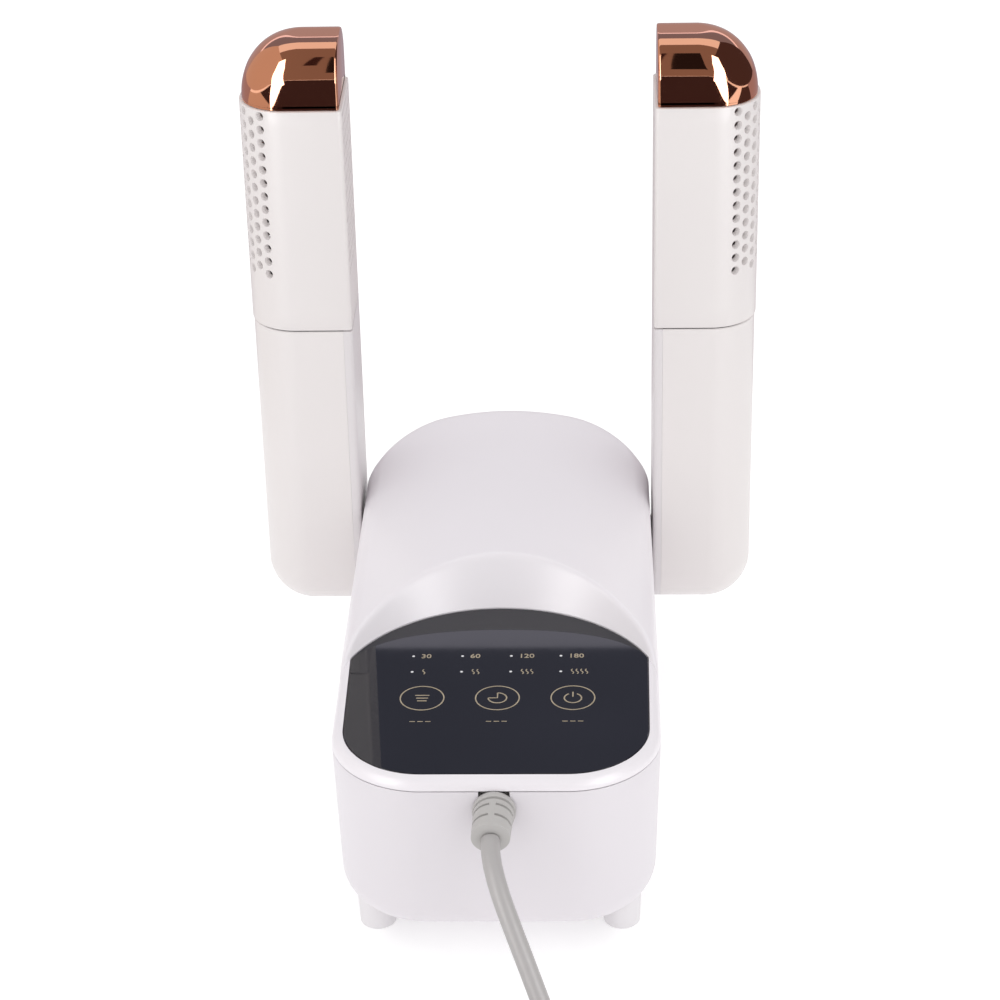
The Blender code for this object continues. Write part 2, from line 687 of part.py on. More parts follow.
def cap_block(name, side, inset, bottom, finish=None):
    """The cap: the sleeve's plan, domed front and back and swept down on its outer side."""
    inner_x = ARM_INNER_X + inset
    plan = mirrored(d_outline(inner_x, SLEEVE_OUTER_X, inset), side)
    block = plate(name, plan, bottom, CAP_TOP_Z + 0.01, "Z", finish)
    shell = inset - CAP_INSET
    top = CAP_TOP_Z - shell
    front = ARM_FRONT_Y + inset
    rear = ARM_FRONT_Y + ARM_DEPTH - inset
    edge = CAP_EDGE - shell
    dome = [(front, bottom - 0.01), (rear, bottom - 0.01)]
    dome += arc((rear - edge, top - edge), edge, 0, 90, 6)
    dome += arc((front + edge, top - edge), edge, 90, 180, 6)
    span = sorted((side * (inner_x - 0.01), side * (SLEEVE_OUTER_X + 0.01)))
    joined(block, plate(name + "_dome", dome, *span, axis="X"), "INTERSECT")
    wide, tall = (size - shell for size in CAP_SHOULDER)
    edge_x = SLEEVE_OUTER_X - inset
    sweep = [(inner_x - 0.01, bottom - 0.01), (edge_x, bottom - 0.01)]
    for i in range(9):
        t = math.radians(90 * i / 8)
        sweep.append((edge_x - wide + wide * math.cos(t), top - tall + tall * math.sin(t)))
    sweep.append((inner_x - 0.01, top))
    reach = (ARM_FRONT_Y - 0.01, ARM_FRONT_Y + ARM_DEPTH + 0.01)
    return joined(block, plate(name + "_sweep", mirrored(sweep, side), *reach, axis="Y"), "INTERSECT")


def hole_drills(name, side):
    """One short square drill for each outlet hole, in staggered columns around the outer side."""
    drills = bmesh.new()
    radius = ARM_CORNER - ARM_WALL / 2
    centre_x = SLEEVE_OUTER_X - ARM_CORNER
    angles = range(HOLE_FIRST_ANGLE, HOLE_LAST_ANGLE + 1, HOLE_ANGLE_STEP)
    for column, angle in enumerate(angles):
        t = math.radians(angle)
        corner_y = {-1: ARM_FRONT_Y + ARM_CORNER, 0: PIVOT_Y, 1: ARM_FRONT_Y + ARM_DEPTH - ARM_CORNER}
        bend = (angle > 90) - (angle < 90)
        x = side * (centre_x + radius * math.sin(t))
        y = corner_y[bend] - radius * math.cos(t)
        turn = Matrix.Rotation(math.atan2(-math.cos(t), side * math.sin(t)), 4, "Z")
        shape = Matrix.Diagonal((4 * ARM_WALL, HOLE_SIDE, HOLE_SIDE, 1))
        stagger = column % 2
        for row in range(HOLE_ROWS - stagger):
            z = HOLE_TOP_Z - (row + stagger / 2) * HOLE_PITCH
            spot = Matrix.Translation((x, y, z))
            bmesh.ops.create_cube(drills, size=1.0, matrix=spot @ turn @ shape)
    return from_bmesh(name, drills)


def hub(name, side, finish):
    """The hollow pivot that carries air from the base into an arm."""
    flange_low = ARM_INNER_X + COVER_THICKNESS + GAP
    flange_high = flange_low + HUB_FLANGE_THICKNESS
    profile = [
        (HUB_BORE, flange_high),
        (HUB_FLANGE, flange_high),
        (HUB_FLANGE, flange_low),
        (HUB_RADIUS, flange_low),
        (HUB_RADIUS, HUB_INNER_X),
        (HUB_BORE, HUB_INNER_X),
    ]
    return turned(name, profile, 24, along_x(side, PIVOT_Y, PIVOT_Z), finish, closed=True)


def hub_ring(name, side, finish):
    low = HUB_INNER_X + 0.0004
    high = low + HUB_RING_THICKNESS
    inner = HUB_RADIUS + GAP
    profile = [(inner, high), (HUB_RING_RADIUS, high), (HUB_RING_RADIUS, low), (inner, low)]
    return turned(name, profile, 24, along_x(side, PIVOT_Y, PIVOT_Z), finish, closed=True)


def arm(hand, side, finishes):
    cover_x = ARM_INNER_X + COVER_THICKNESS
    shell = arm_block(f"{hand}_arm_shell", side, cover_x + GAP, 0.0, ARM_TOP_Z, finishes["arm"])
    joined(shell, arm_block(f"{hand}_arm_cavity", side, cover_x - 0.002, ARM_WALL, ARM_TOP_Z + 0.01))

    span = sorted((side * ARM_INNER_X, side * cover_x))
    outline = capsule_outline(ARM_DEPTH / 2, ARM_TOP_Z)
    cover = plate(f"{hand}_arm_cover", outline, *span, axis="X", finish=finishes["cover"])
    cross = (PIVOT_Y, PIVOT_Z)
    joined(cover, cylinder(f"{hand}_cover_hole", HUB_RADIUS + GAP, -0.07, 0.07, cross, "X", sides=24))

    hub_piece = hub(f"{hand}_hub", side, finishes["hub"])
    ring = hub_ring(f"{hand}_hub_ring", side, finishes["ring"])

    tube_x = cover_x + 0.0004
    tube_edge = ARM_OUTER_X - ARM_WALL - 0.0004
    tube_inset = ARM_WALL + 0.0004
    tube_plan = d_outline(tube_x, tube_edge + tube_inset, tube_inset)
    tube_name = f"{hand}_inner_tube"
    tube = plate(tube_name, mirrored(tube_plan, side), TUBE_BOTTOM_Z, TUBE_TOP_Z, finish=finishes["tube"])
    bore_plan = d_outline(tube_x + TUBE_WALL, tube_edge + tube_inset, tube_inset + TUBE_WALL)
    joined(tube, plate(f"{hand}_tube_bore", mirrored(bore_plan, side), 0.0, 0.3))

    sleeve_plan = mirrored(d_outline(ARM_INNER_X, SLEEVE_OUTER_X), side)
    sleeve = plate(f"{hand}_sleeve", sleeve_plan, SLEEVE_BOTTOM_Z, SLEEVE_TOP_Z, "Z", finishes["arm"])
    inside = mirrored(d_outline(ARM_INNER_X + ARM_WALL, SLEEVE_OUTER_X, ARM_WALL), side)
    joined(sleeve, plate(f"{hand}_sleeve_bore", inside, 0.0, 0.3))
    joined(sleeve, hole_drills(f"{hand}_hole_drills", side))

    bottom = SLEEVE_TOP_Z + GAP
    cap = cap_block(f"{hand}_cap", side, CAP_INSET, bottom, finishes["cap"])
    joined(cap, cap_block(f"{hand}_cap_inside", side, CAP_INSET + CAP_WALL, bottom - 0.01))

    fold_place = (side * ARM_INNER_X, PIVOT_Y, PIVOT_Z)
    slide_place = (side * (ARM_INNER_X + SLEEVE_OUTER_X) / 2, PIVOT_Y, SLEEVE_BOTTOM_Z)
    fold = pivot(f"{hand}_fold_axis", fold_place)
    slide = pivot(f"{hand}_slide_axis", slide_place)
    hang(fold, fold_place, shell, cover, hub_piece, ring, slide)
    hang(slide, slide_place, tube, sleeve, cap)


# ---- mains lead ----------------------------------------------------------------------------
def smooth_route(points, step):
    """Evenly spaced points on a smooth curve through the route's own points."""
    ends = [Vector(p) for p in points]
    ends = [2 * ends[0] - ends[1]] + ends + [2 * ends[-1] - ends[-2]]
    fine = []
    for a, b, c, d in zip(ends, ends[1:], ends[2:], ends[3:]):
        for i in range(20):
            t = i / 20
            curved = 2 * a - 5 * b + 4 * c - d
            bent = 3 * b - a - 3 * c + d
            fine.append(0.5 * (2 * b + (c - a) * t + curved * t**2 + bent * t**3))
    fine.append(ends[-2])
    lengths = [0.0]
    for a, b in zip(fine, fine[1:]):
        lengths.append(lengths[-1] + (b - a).length)
    count = max(2, round(lengths[-1] / step))
    spaced = []
    for i in range(count + 1):
        want = lengths[-1] * i / count
        j = max(k for k in range(len(fine) - 1) if lengths[k] <= want + 1e-9)
        part = (want - lengths[j]) / max(1e-9, lengths[j + 1] - lengths[j])
        spaced.append(fine[j].lerp(fine[j + 1], min(1.0, part)))
    return spaced


def tube_along(name, points, radius, finish, radii=None):
    curve = bpy.data.curves.new(name, "CURVE")
    curve.dimensions = "3D"
    curve.bevel_depth = radius
    curve.bevel_resolution = 3
    curve.use_fill_caps = True
    spline = curve.splines.new("POLY")
    spline.points.add(len(points) - 1)
    for i, point in enumerate(points):
        spline.points[i].co = (*point, 1)
        spline.points[i].radius = radii[i] / radius if radii else 1.0
    obj = bpy.data.objects.new(name, curve)
    return place(obj, finish)


def strain_relief(finish):
    """Collar outside the wall, neck in the notch, flange inside, and a stout drooping boot."""
    wall_y = -BASE_LENGTH / 2
    profile = (
        (wall_y + 0.0055, 0.0075),
        (wall_y + 0.0035, 0.0075),
        (wall_y + 0.00345, 0.0050),
        (wall_y - 0.0005, 0.0050),
        (wall_y - 0.00055, 0.00725),
        (wall_y - 0.0036, 0.00705),
        (wall_y - 0.00365, 0.0058),
        (wall_y - 0.0050, 0.0057),
        (wall_y - 0.00505, 0.0066),
        (wall_y - 0.0086, 0.0065),
        (wall_y - 0.0123, 0.0063),
    )
    reach = profile[-1][0] - wall_y
    points = []
    for y, _ in profile:
        out = min(0.0, y - wall_y + 0.0036) / (reach + 0.0036)
        droop = (EXIT_Z - LEAD_ROUTE[0][2]) * out**1.5
        points.append((LEAD_ROUTE[0][0] * out, y, EXIT_Z - droop))
    radii = [radius for _, radius in profile]
    return tube_along("strain_relief", points, max(radii), finish, radii)


def cord(finish):
    tube_along("cord", smooth_route(LEAD_ROUTE, 2 * CORD_STEP), CORD_RADIUS, finish)
    tube_along("cord_tail", smooth_route(TAIL_ROUTE, 2 * CORD_STEP), CORD_RADIUS, finish)
    soft = COIL_EDGE
    profile = [
        (COIL_INNER, COIL_HEIGHT - soft),
        (COIL_INNER + soft, COIL_HEIGHT),
        (COIL_OUTER - soft, COIL_HEIGHT),
        (COIL_OUTER, COIL_HEIGHT - soft),
        (COIL_OUTER, soft),
        (COIL_OUTER - soft, 0.0),
        (COIL_INNER + soft, 0.0),
        (COIL_INNER, soft),
    ]
    turned("cord_coil", profile, 32, Matrix.Translation((*COIL_CENTRE, 0)), finish, closed=True)


def plug(body_finish, pin_finish):
    x, start, _ = TAIL_ROUTE[-1]
    start += 2 * GAP
    height = PLUG_HALF_HEIGHT + 0.0001
    end = start + PLUG_LENGTH
    neck_end = start + PLUG_NECK_LENGTH
    half = PLUG_HALF_WIDTH
    right = [
        (0.0045, start),
        (0.0055, neck_end - 0.002),
        (half - 0.002, neck_end + 0.003),
        (half, neck_end + 0.008),
        (half, end),
    ]
    outline = [(x + out, y) for out, y in right] + [(x - out, y) for out, y in reversed(right)]
    body = plate("plug", outline, height - PLUG_HALF_HEIGHT, height + PLUG_HALF_HEIGHT, "Z", body_finish)
    rounded = body.modifiers.new("Soft edges", "BEVEL")
    rounded.width = 0.0015
    rounded.segments = 2
    rounded.limit_method = "ANGLE"
    rounded.angle_limit = math.radians(60)
    blade, length, thin = PIN_SIZE
    for i, sign in enumerate((-1, 1)):
        px = x + sign * PIN_SPACING / 2
        low = (px - thin / 2, end + GAP, height - blade / 2)
        high = (px + thin / 2, end + GAP + length, height + blade / 2)
        box(f"plug_pin_{i + 1}", low, high, pin_finish)


# ---- assembly ------------------------------------------------------------------------------
def build():
    white = material("white_shell", (0.78, 0.76, 0.77), 0.42)
    white_top = material("white_cover", (0.80, 0.78, 0.79), 0.38)
    lower_shell(white)
    upper_shell(white_top)
    glass_black = material("panel_black", (0.012, 0.012, 0.015), 0.12)
    plate("control_panel", panel_outline(), DECK_Z - PANEL_THICKNESS, DECK_Z, finish=glass_black)
    inlet_grille(material("grille_plastic", (0.62, 0.61, 0.62), 0.5))
    feet(material("foot_rubber", (0.55, 0.54, 0.55), 0.7))
    case_screws(material("screw_steel", (0.55, 0.55, 0.57), 0.35, 1.0))
    board_green = material("touch_board_green", (0.02, 0.14, 0.06), 0.5)
    box("touch_board", *TOUCH_BOARD, board_green)
    power_board(material("power_board_green", (0.03, 0.16, 0.07), 0.5))
    fan(
        material("fan_frame_black", (0.03, 0.03, 0.03), 0.45),
        material("motor_steel", (0.45, 0.45, 0.46), 0.4, 1.0),
        material("impeller_black", (0.02, 0.02, 0.02), 0.4),
    )
    fan_hood(material("hood_nylon", (0.10, 0.10, 0.10), 0.55))
    heater(
        material("heater_mica", (0.45, 0.38, 0.28), 0.6),
        material("heater_aluminium", (0.75, 0.75, 0.76), 0.35, 1.0),
        material("cutout_metal", (0.62, 0.60, 0.55), 0.35, 1.0),
    )
    air_manifold(material("manifold_nylon", (0.11, 0.11, 0.11), 0.55))
    for hand, side in (("left", -1), ("right", 1)):
        finishes = {
            "arm": material(f"{hand}_arm_white", (0.79, 0.76, 0.76), 0.42),
            "cover": material(f"{hand}_cover_white", (0.74, 0.72, 0.73), 0.45),
            "hub": material(f"{hand}_hub_acetal", (0.60, 0.60, 0.61), 0.4),
            "ring": material(f"{hand}_ring_steel", (0.6, 0.6, 0.6), 0.35, 1.0),
            "tube": material(f"{hand}_tube_grey", (0.55, 0.55, 0.56), 0.45),
            "cap": material(f"{hand}_cap_copper", (0.78, 0.47, 0.33), 0.12, 1.0),
        }
        arm(hand, side, finishes)
    strain_relief(material("relief_grey", (0.50, 0.49, 0.47), 0.55))
    cord(material("cord_grey", (0.60, 0.58, 0.57), 0.5))
    plug(
        material("plug_grey", (0.60, 0.58, 0.57), 0.45),
        material("pin_brass", (0.80, 0.66, 0.35), 0.3, 1.0),
    )


clear_scene()
PARTS = collection(DRYER)
CUTTERS = collection("cutters")
build()
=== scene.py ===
"""Looks of the boot dryer: fine shells, perforated arms, copper caps, panel marks and the mains lead.

Metres, +Z up, -Y the dryer's front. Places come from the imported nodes' boxes.
"""
import json
import math

import bmesh
import bpy
from mathutils import Matrix, Vector

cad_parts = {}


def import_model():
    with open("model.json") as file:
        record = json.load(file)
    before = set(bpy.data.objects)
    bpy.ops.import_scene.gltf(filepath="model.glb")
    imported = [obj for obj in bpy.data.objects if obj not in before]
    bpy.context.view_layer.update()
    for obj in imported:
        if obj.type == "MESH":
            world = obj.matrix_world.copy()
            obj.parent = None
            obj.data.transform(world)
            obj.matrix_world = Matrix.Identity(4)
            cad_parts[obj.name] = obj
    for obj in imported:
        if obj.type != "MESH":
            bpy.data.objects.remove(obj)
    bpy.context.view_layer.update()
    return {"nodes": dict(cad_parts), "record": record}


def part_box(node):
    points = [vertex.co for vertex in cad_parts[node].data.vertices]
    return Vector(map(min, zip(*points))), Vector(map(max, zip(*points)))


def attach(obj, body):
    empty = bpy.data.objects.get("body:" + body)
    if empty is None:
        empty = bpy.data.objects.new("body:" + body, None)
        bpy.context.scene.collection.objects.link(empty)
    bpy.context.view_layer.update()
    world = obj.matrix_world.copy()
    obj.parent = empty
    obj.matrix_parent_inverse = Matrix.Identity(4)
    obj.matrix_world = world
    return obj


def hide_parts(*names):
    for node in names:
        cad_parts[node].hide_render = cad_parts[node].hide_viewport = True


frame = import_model()

# ---- sizes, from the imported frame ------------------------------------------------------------
TUB_LOW, TUB_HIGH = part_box("lower_shell")
PANEL_LOW, PANEL_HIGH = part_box("control_panel")
ARM_LOW, ARM_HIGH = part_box("right_arm_shell")
SIDE_LOW, SIDE_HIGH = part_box("right_arm_cover")
SLEEVE_LOW, SLEEVE_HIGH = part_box("right_sleeve")
TUBE_LOW, TUBE_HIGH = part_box("right_inner_tube")
CAP_LOW, CAP_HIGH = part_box("right_cap")
COIL_LOW, COIL_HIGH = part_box("cord_coil")
PLUG_LOW, PLUG_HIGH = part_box("plug")
RELIEF_LOW, RELIEF_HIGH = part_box("strain_relief")

FRONT_HALF_WIDTH = TUB_HIGH.x
REAR_HALF_WIDTH = FRONT_HALF_WIDTH - 0.0007
TAPER_START_Y = -0.030
TAPER_LENGTH = 0.11
FRONT_CORNER = 0.031
REAR_CORNER = 0.030
LEAST_CORNER = 0.004
DRAFT = math.tan(math.radians(1.8))
BOTTOM_ROUNDING = 0.012
WALL = 0.0024
COVER_WALL = 0.0016
SEAM_ROUNDING = 0.0003
SEAM_GAP = 0.00016
FLOOR_Z = TUB_LOW.z
COUNTERBORE_RADIUS = 0.0034
CUT_DEPTH = 0.02
HUB_CUT_LENGTH = 0.14
INLET_CLEARANCE = 0.0003
NOTCH_HALF_WIDTH = 0.0051
NOTCH_DROP = 0.006
NOTCH_TOP_Z = 0.08
NOTCH_REACH = (-0.01, 0.012)

ARCH_TOP_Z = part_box("upper_shell")[1].z
ARCH_RADIUS = 0.115
SIDE_ROUNDING = 0.0058
DECK_ROUNDING = 0.0038
REAR_ROUNDING = 0.005
DECK_Z = PANEL_HIGH.z
SCOOP_Y = -0.065
SCOOP_RADIUS = 0.0559
SCOOP_FLARE = 0.685
CREASE_BLEND = 0.0022
PANEL_CORNER = 0.027
PANEL_SIDE_INSET = 0.0005
PANEL_THICKNESS = 0.0012
PANEL_GAP = 0.0002
RECESS_DEPTH = 0.0014

PIVOT_Y = (ARM_LOW.y + ARM_HIGH.y) / 2
ARM_HALF_DEPTH = (ARM_HIGH.y - ARM_LOW.y) / 2
PIVOT_Z = ARM_LOW.z + ARM_HALF_DEPTH
ARM_CORNER = 0.017
ARM_WALL = 0.002
SIDE_EDGE = 0.0016
SIDE_GAP = 0.00004
HUB_HOLE = 0.0133
ARM_CUT_LENGTH = 0.16

HOLE_INSIDE = 0.0006
HOLE_OUTSIDE = 0.0021
HOLE_DRILL_DEPTH = 0.0044
HOLE_PITCH = 0.00507
HOLE_ROWS = 13
HOLE_TOP_Z = SLEEVE_HIGH.z - 0.0022
OUTER_COLUMNS = 9
FIRST_COLUMN_ANGLE = 30
COLUMN_ANGLE = 15
INNER_HOLE = 0.0009
INNER_DRILL_DEPTH = 0.004
INNER_COLUMNS = 9
INNER_COLUMN_PITCH = 0.0036

TUBE_WALL = 0.0014
TUBE_CORNER = 0.0146
TUBE_EDGE = 0.0006

CAP_EDGE = 0.013
CAP_SWEEP = (0.0186, 0.022)
CAP_SKIRT = 0.0015
CAP_CORNER = ARM_CORNER - 0.001
CAP_INNER_EDGE = 0.0012

CORD_DIAMETER = 0.0062
# From the strain relief to where the lead meets the coil.
LEAD_ROUTE = (
    (-0.0009, -0.1305, 0.0606),
    (-0.0004, -0.1382, 0.0581),
    (0.0021, -0.1465, 0.0525),
    (0.0057, -0.1531, 0.0449),
    (0.0107, -0.1610, 0.0346),
    (0.0160, -0.1694, 0.0234),
    (0.0210, -0.1780, 0.0126),
    (0.0250, -0.1876, 0.0058),
    (0.0270, -0.1970, 0.0035),
    (0.0276, -0.2050, 0.0033),
)
# From the coil to the plug.
TAIL_ROUTE = (
    (-0.0369, -0.2692, 0.0052),
    (-0.0460, -0.2686, 0.0036),
    (-0.0580, -0.2646, 0.0033),
    (-0.0690, -0.2562, 0.0033),
    (-0.0762, -0.2450, 0.0038),
    (-0.0786, -0.2360, 0.0060),
    (-0.0790, -0.2295, 0.0072),
    (-0.0790, -0.2240, 0.0073),
)


def placed(name, data):
    """A new object of the scene that holds the data."""
    obj = bpy.data.objects.new(name, data)
    bpy.context.scene.collection.objects.link(obj)
    return obj


# ---- camera ----------------------------------------------------------------------------------
CAMERA_PLACE = Vector((0.03243, -0.89461, 0.60400))
CAMERA_PITCH = math.radians(28.74)
CAMERA_YAW = math.radians(2.08)
CAMERA_ROLL = math.radians(-1.32)
CAMERA_LENS = 104.84


def camera():
    data = bpy.data.cameras.new("camera")
    data.lens = CAMERA_LENS
    data.sensor_width = 36
    obj = placed("camera", data)
    ahead = Vector((
        -math.sin(CAMERA_YAW) * math.cos(CAMERA_PITCH),
        math.cos(CAMERA_YAW) * math.cos(CAMERA_PITCH),
        -math.sin(CAMERA_PITCH),
    ))
    level = Vector((math.cos(CAMERA_YAW), math.sin(CAMERA_YAW), 0))
    above = level.cross(ahead)
    right = level * math.cos(CAMERA_ROLL) + above * math.sin(CAMERA_ROLL)
    up = above * math.cos(CAMERA_ROLL) - level * math.sin(CAMERA_ROLL)
    turn = Matrix((right, up, -ahead)).transposed().to_4x4()
    obj.matrix_world = Matrix.Translation(CAMERA_PLACE) @ turn
    bpy.context.scene.camera = obj


# ---- materials -------------------------------------------------------------------------------
NOISE_RANGE = (0.3, 0.7)
ROUGHNESS_SPREAD = (0.9, 1.12)
BUMP_DISTANCE = 0.0002


def shader_of(name):
    made = bpy.data.materials.new(name)
    made.use_nodes = True
    tree = made.node_tree
    return made, tree, tree.nodes["Principled BSDF"]


def noise(tree, scale, detail=3.0, stretch=None):
    coords = tree.nodes.new("ShaderNodeTexCoord")
    texture = tree.nodes.new("ShaderNodeTexNoise")
    texture.inputs["Scale"].default_value = scale
    texture.inputs["Detail"].default_value = detail
    if stretch:
        mapping = tree.nodes.new("ShaderNodeMapping")
        mapping.inputs["Scale"].default_value = stretch
        tree.links.new(coords.outputs["Object"], mapping.inputs["Vector"])
        tree.links.new(mapping.outputs["Vector"], texture.inputs["Vector"])
    else:
        tree.links.new(coords.outputs["Object"], texture.inputs["Vector"])
    return texture


def spread(tree, source, low, high):
    """Takes a noise's usual range to low..high."""
    node = tree.nodes.new("ShaderNodeMapRange")
    node.inputs["From Min"].default_value, node.inputs["From Max"].default_value = NOISE_RANGE
    node.inputs["To Min"].default_value = low
    node.inputs["To Max"].default_value = high
    tree.links.new(source.outputs["Fac"], node.inputs["Value"])
    return node.outputs["Result"]


def surface(name, colour, roughness, metallic=0.0, vary=0.03, grain=900, bump=0.02, blotch=14, stretch=None):
    """A moulded or metal surface: slow colour changes, a fine grain in roughness and in bump."""
    made, tree, shader = shader_of(name)
    shader.inputs["Metallic"].default_value = metallic
    slow = noise(tree, blotch, 2.0)
    mix = tree.nodes.new("ShaderNodeMix")
    mix.data_type = "RGBA"
    mix.inputs["A"].default_value = (*[c * (1 - vary) for c in colour], 1)
    mix.inputs["B"].default_value = (*[min(1, c * (1 + vary)) for c in colour], 1)
    tree.links.new(spread(tree, slow, 0.0, 1.0), mix.inputs["Factor"])
    tree.links.new(mix.outputs["Result"], shader.inputs["Base Color"])
    fine = noise(tree, grain, 2.0, stretch)
    low, high = ROUGHNESS_SPREAD
    rough = spread(tree, fine, roughness * low, min(1.0, roughness * high))
    tree.links.new(rough, shader.inputs["Roughness"])
    if bump:
        relief = tree.nodes.new("ShaderNodeBump")
        relief.inputs["Strength"].default_value = bump
        relief.inputs["Distance"].default_value = BUMP_DISTANCE
        tree.links.new(fine.outputs["Fac"], relief.inputs["Height"])
        tree.links.new(relief.outputs["Normal"], shader.inputs["Normal"])
    return made


def make_finishes():
    return {
        # base_white and cover_white are one white plastic: cover_white is a lighter copy, painted light on
        # the top cover that faces the lamps, and base_white the darker copy, painted shade on the tub's
        # walls.
        "base_white": surface("base_white", (0.735, 0.70, 0.735), 0.36, vary=0.008, bump=0.015),
        "cover_white": surface("cover_white", (0.83, 0.795, 0.83), 0.34, vary=0.008, bump=0.0),
        "arm_white": surface("arm_white", (0.75, 0.71, 0.705), 0.36, vary=0.008, bump=0.015),
        # arm_cover_white is a darker copy of arm_white's plastic, painted shade on the inner sides of the
        # arms, which face each other.
        "arm_cover_white": surface("arm_cover_white", (0.70, 0.665, 0.675), 0.4, vary=0.01, bump=0.015),
        "panel_black": surface("panel_black", (0.011, 0.011, 0.016), 0.025, vary=0.15, grain=160, bump=0.0),
        "cap_copper": surface(
            "cap_copper", (0.84, 0.41, 0.26), 0.045, 1.0, vary=0.03, grain=130, bump=0.012, blotch=40
        ),
        "relief_grey": surface("relief_grey", (0.47, 0.455, 0.445), 0.5, bump=0.15, grain=1400),
        "cord_grey": surface("cord_grey", (0.43, 0.412, 0.41), 0.42, bump=0.1, grain=1100),
        "plug_grey": surface("plug_grey", (0.43, 0.412, 0.41), 0.4, bump=0.1, grain=1100),
        "pin_brass": surface("pin_brass", (0.80, 0.62, 0.30), 0.28, 1.0, vary=0.05, stretch=(1, 0.05, 1)),
        "foot_rubber": surface("foot_rubber", (0.76, 0.735, 0.755), 0.5, bump=0.08),
        "grille_plastic": surface("grille_plastic", (0.70, 0.68, 0.70), 0.45, bump=0.06),
        "inner_plastic": surface("inner_plastic", (0.09, 0.09, 0.09), 0.55, bump=0.2),
        "fan_plastic": surface("fan_plastic", (0.03, 0.03, 0.032), 0.42, bump=0.1),
        "motor_steel": surface("motor_steel", (0.47, 0.47, 0.48), 0.35, 1.0, bump=0.1),
        "screw_steel": surface("screw_steel", (0.58, 0.58, 0.60), 0.33, 1.0, bump=0.08),
        "heater_mica": surface("heater_mica", (0.42, 0.35, 0.25), 0.6, vary=0.15, blotch=90, bump=0.2),
        "heater_aluminium": surface("heater_aluminium", (0.76, 0.76, 0.77), 0.32, 1.0, bump=0.1),
        "board_green": surface("board_green", (0.02, 0.15, 0.06), 0.4, vary=0.12, blotch=60),
        "hub_acetal": surface("hub_acetal", (0.62, 0.61, 0.62), 0.35, bump=0.05),
        "tube_grey": surface("tube_grey", (0.64, 0.62, 0.63), 0.38, bump=0.05),
        "mark_gold": surface("mark_gold", (0.40, 0.33, 0.23), 0.45, vary=0.12, blotch=300, bump=0.0),
        "lamp_white": surface("lamp_white", (0.80, 0.80, 0.82), 0.3, vary=0.03, bump=0.0),
    }


# ---- mesh tools ------------------------------------------------------------------------------
def piece(name, mesh, slot, body, replaces=(), finish=None):
    obj = placed(name, mesh)
    mesh.materials.append(FINISH[finish or slot])
    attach(obj, body)
    if replaces:
        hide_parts(*replaces)
    return obj


def mesh_of(bm, name):
    mesh = bpy.data.meshes.new(name)
    bm.to_mesh(mesh)
    bm.free()
    return mesh


def loft_mesh(name, rings, closed=True, cap_start=True, cap_end=True, loop=False):
    """Skins a stack of equally long rings of points; loop joins the last ring to the first."""
    bm = bmesh.new()
    rows = [[bm.verts.new(p) for p in ring] for ring in rings]
    count = len(rows[0])
    pairs = list(zip(rows, rows[1:]))
    if loop:
        pairs.append((rows[-1], rows[0]))
    for a, b in pairs:
        for i in range(count if closed else count - 1):
            j = (i + 1) % count
            bm.faces.new((a[i], a[j], b[j], b[i]))
    if not loop and cap_start:
        bm.faces.new(rows[0])
    if not loop and cap_end:
        bm.faces.new(rows[-1])
    bmesh.ops.recalc_face_normals(bm, faces=bm.faces)
    return mesh_of(bm, name)


def soften(mesh, angle=32):
    mesh.shade_smooth()
    mesh.set_sharp_from_angle(angle=math.radians(angle))


def finished_mesh(name, obj):
    """The object's mesh with its modifiers applied."""
    bpy.context.view_layer.update()
    evaluated = obj.evaluated_get(bpy.context.evaluated_depsgraph_get())
    mesh = bpy.data.meshes.new_from_object(evaluated)
    mesh.name = name
    mesh.materials.clear()
    soften(mesh)
    return mesh


def carved(name, mesh, cutters):
    """The mesh with other meshes cut out of it, and then its edges marked."""
    block = placed(mesh.name, mesh)
    helpers = [block]
    for cutter in cutters:
        helper = placed(cutter.name, cutter)
        helpers.append(helper)
        step = block.modifiers.new("step", "BOOLEAN")
        step.operation = "DIFFERENCE"
        step.object = helper
    result = finished_mesh(name, block)
    for helper in helpers:
        bpy.data.objects.remove(helper, do_unlink=True)
    return result


def thickened(name, mesh, thickness):
    """A sheet with a wall's thickness added on its inner side."""
    block = placed(mesh.name, mesh)
    step = block.modifiers.new("wall", "SOLIDIFY")
    step.thickness = thickness
    step.offset = -1
    step.use_even_offset = False
    result = finished_mesh(name, block)
    bpy.data.objects.remove(block, do_unlink=True)
    return result


def cones_mesh(name, places, radii, depth, sides):
    """Cones or rods of one size, one at each placing matrix."""
    bm = bmesh.new()
    first, last = radii
    for place in places:
        bmesh.ops.create_cone(
            bm, cap_ends=True, segments=sides, radius1=first, radius2=last, depth=depth, matrix=place
        )
    return mesh_of(bm, name)


def rod_mesh(name, spots, radius, depth, axis="Z", sides=32):
    """Cylinders of one size at several spots, all along one axis."""
    turns = {"X": Matrix.Rotation(math.pi / 2, 4, "Y"), "Z": Matrix.Identity(4)}
    places = [Matrix.Translation(spot) @ turns[axis] for spot in spots]
    return cones_mesh(name, places, (radius, radius), depth, sides)


def block_mesh(name, low, high):
    bm = bmesh.new()
    size = Matrix.Diagonal((*[b - a for a, b in zip(low, high)], 1))
    middle = Matrix.Translation([(a + b) / 2 for a, b in zip(low, high)])
    bmesh.ops.create_cube(bm, size=1.0, matrix=middle @ size)
    return mesh_of(bm, name)


def arc(centre, radius, start, end, steps):
    turns = [math.radians(start + (end - start) * i / steps) for i in range(steps + 1)]
    return [(centre[0] + radius * math.cos(t), centre[1] + radius * math.sin(t)) for t in turns]


CURVE_STEPS = 20


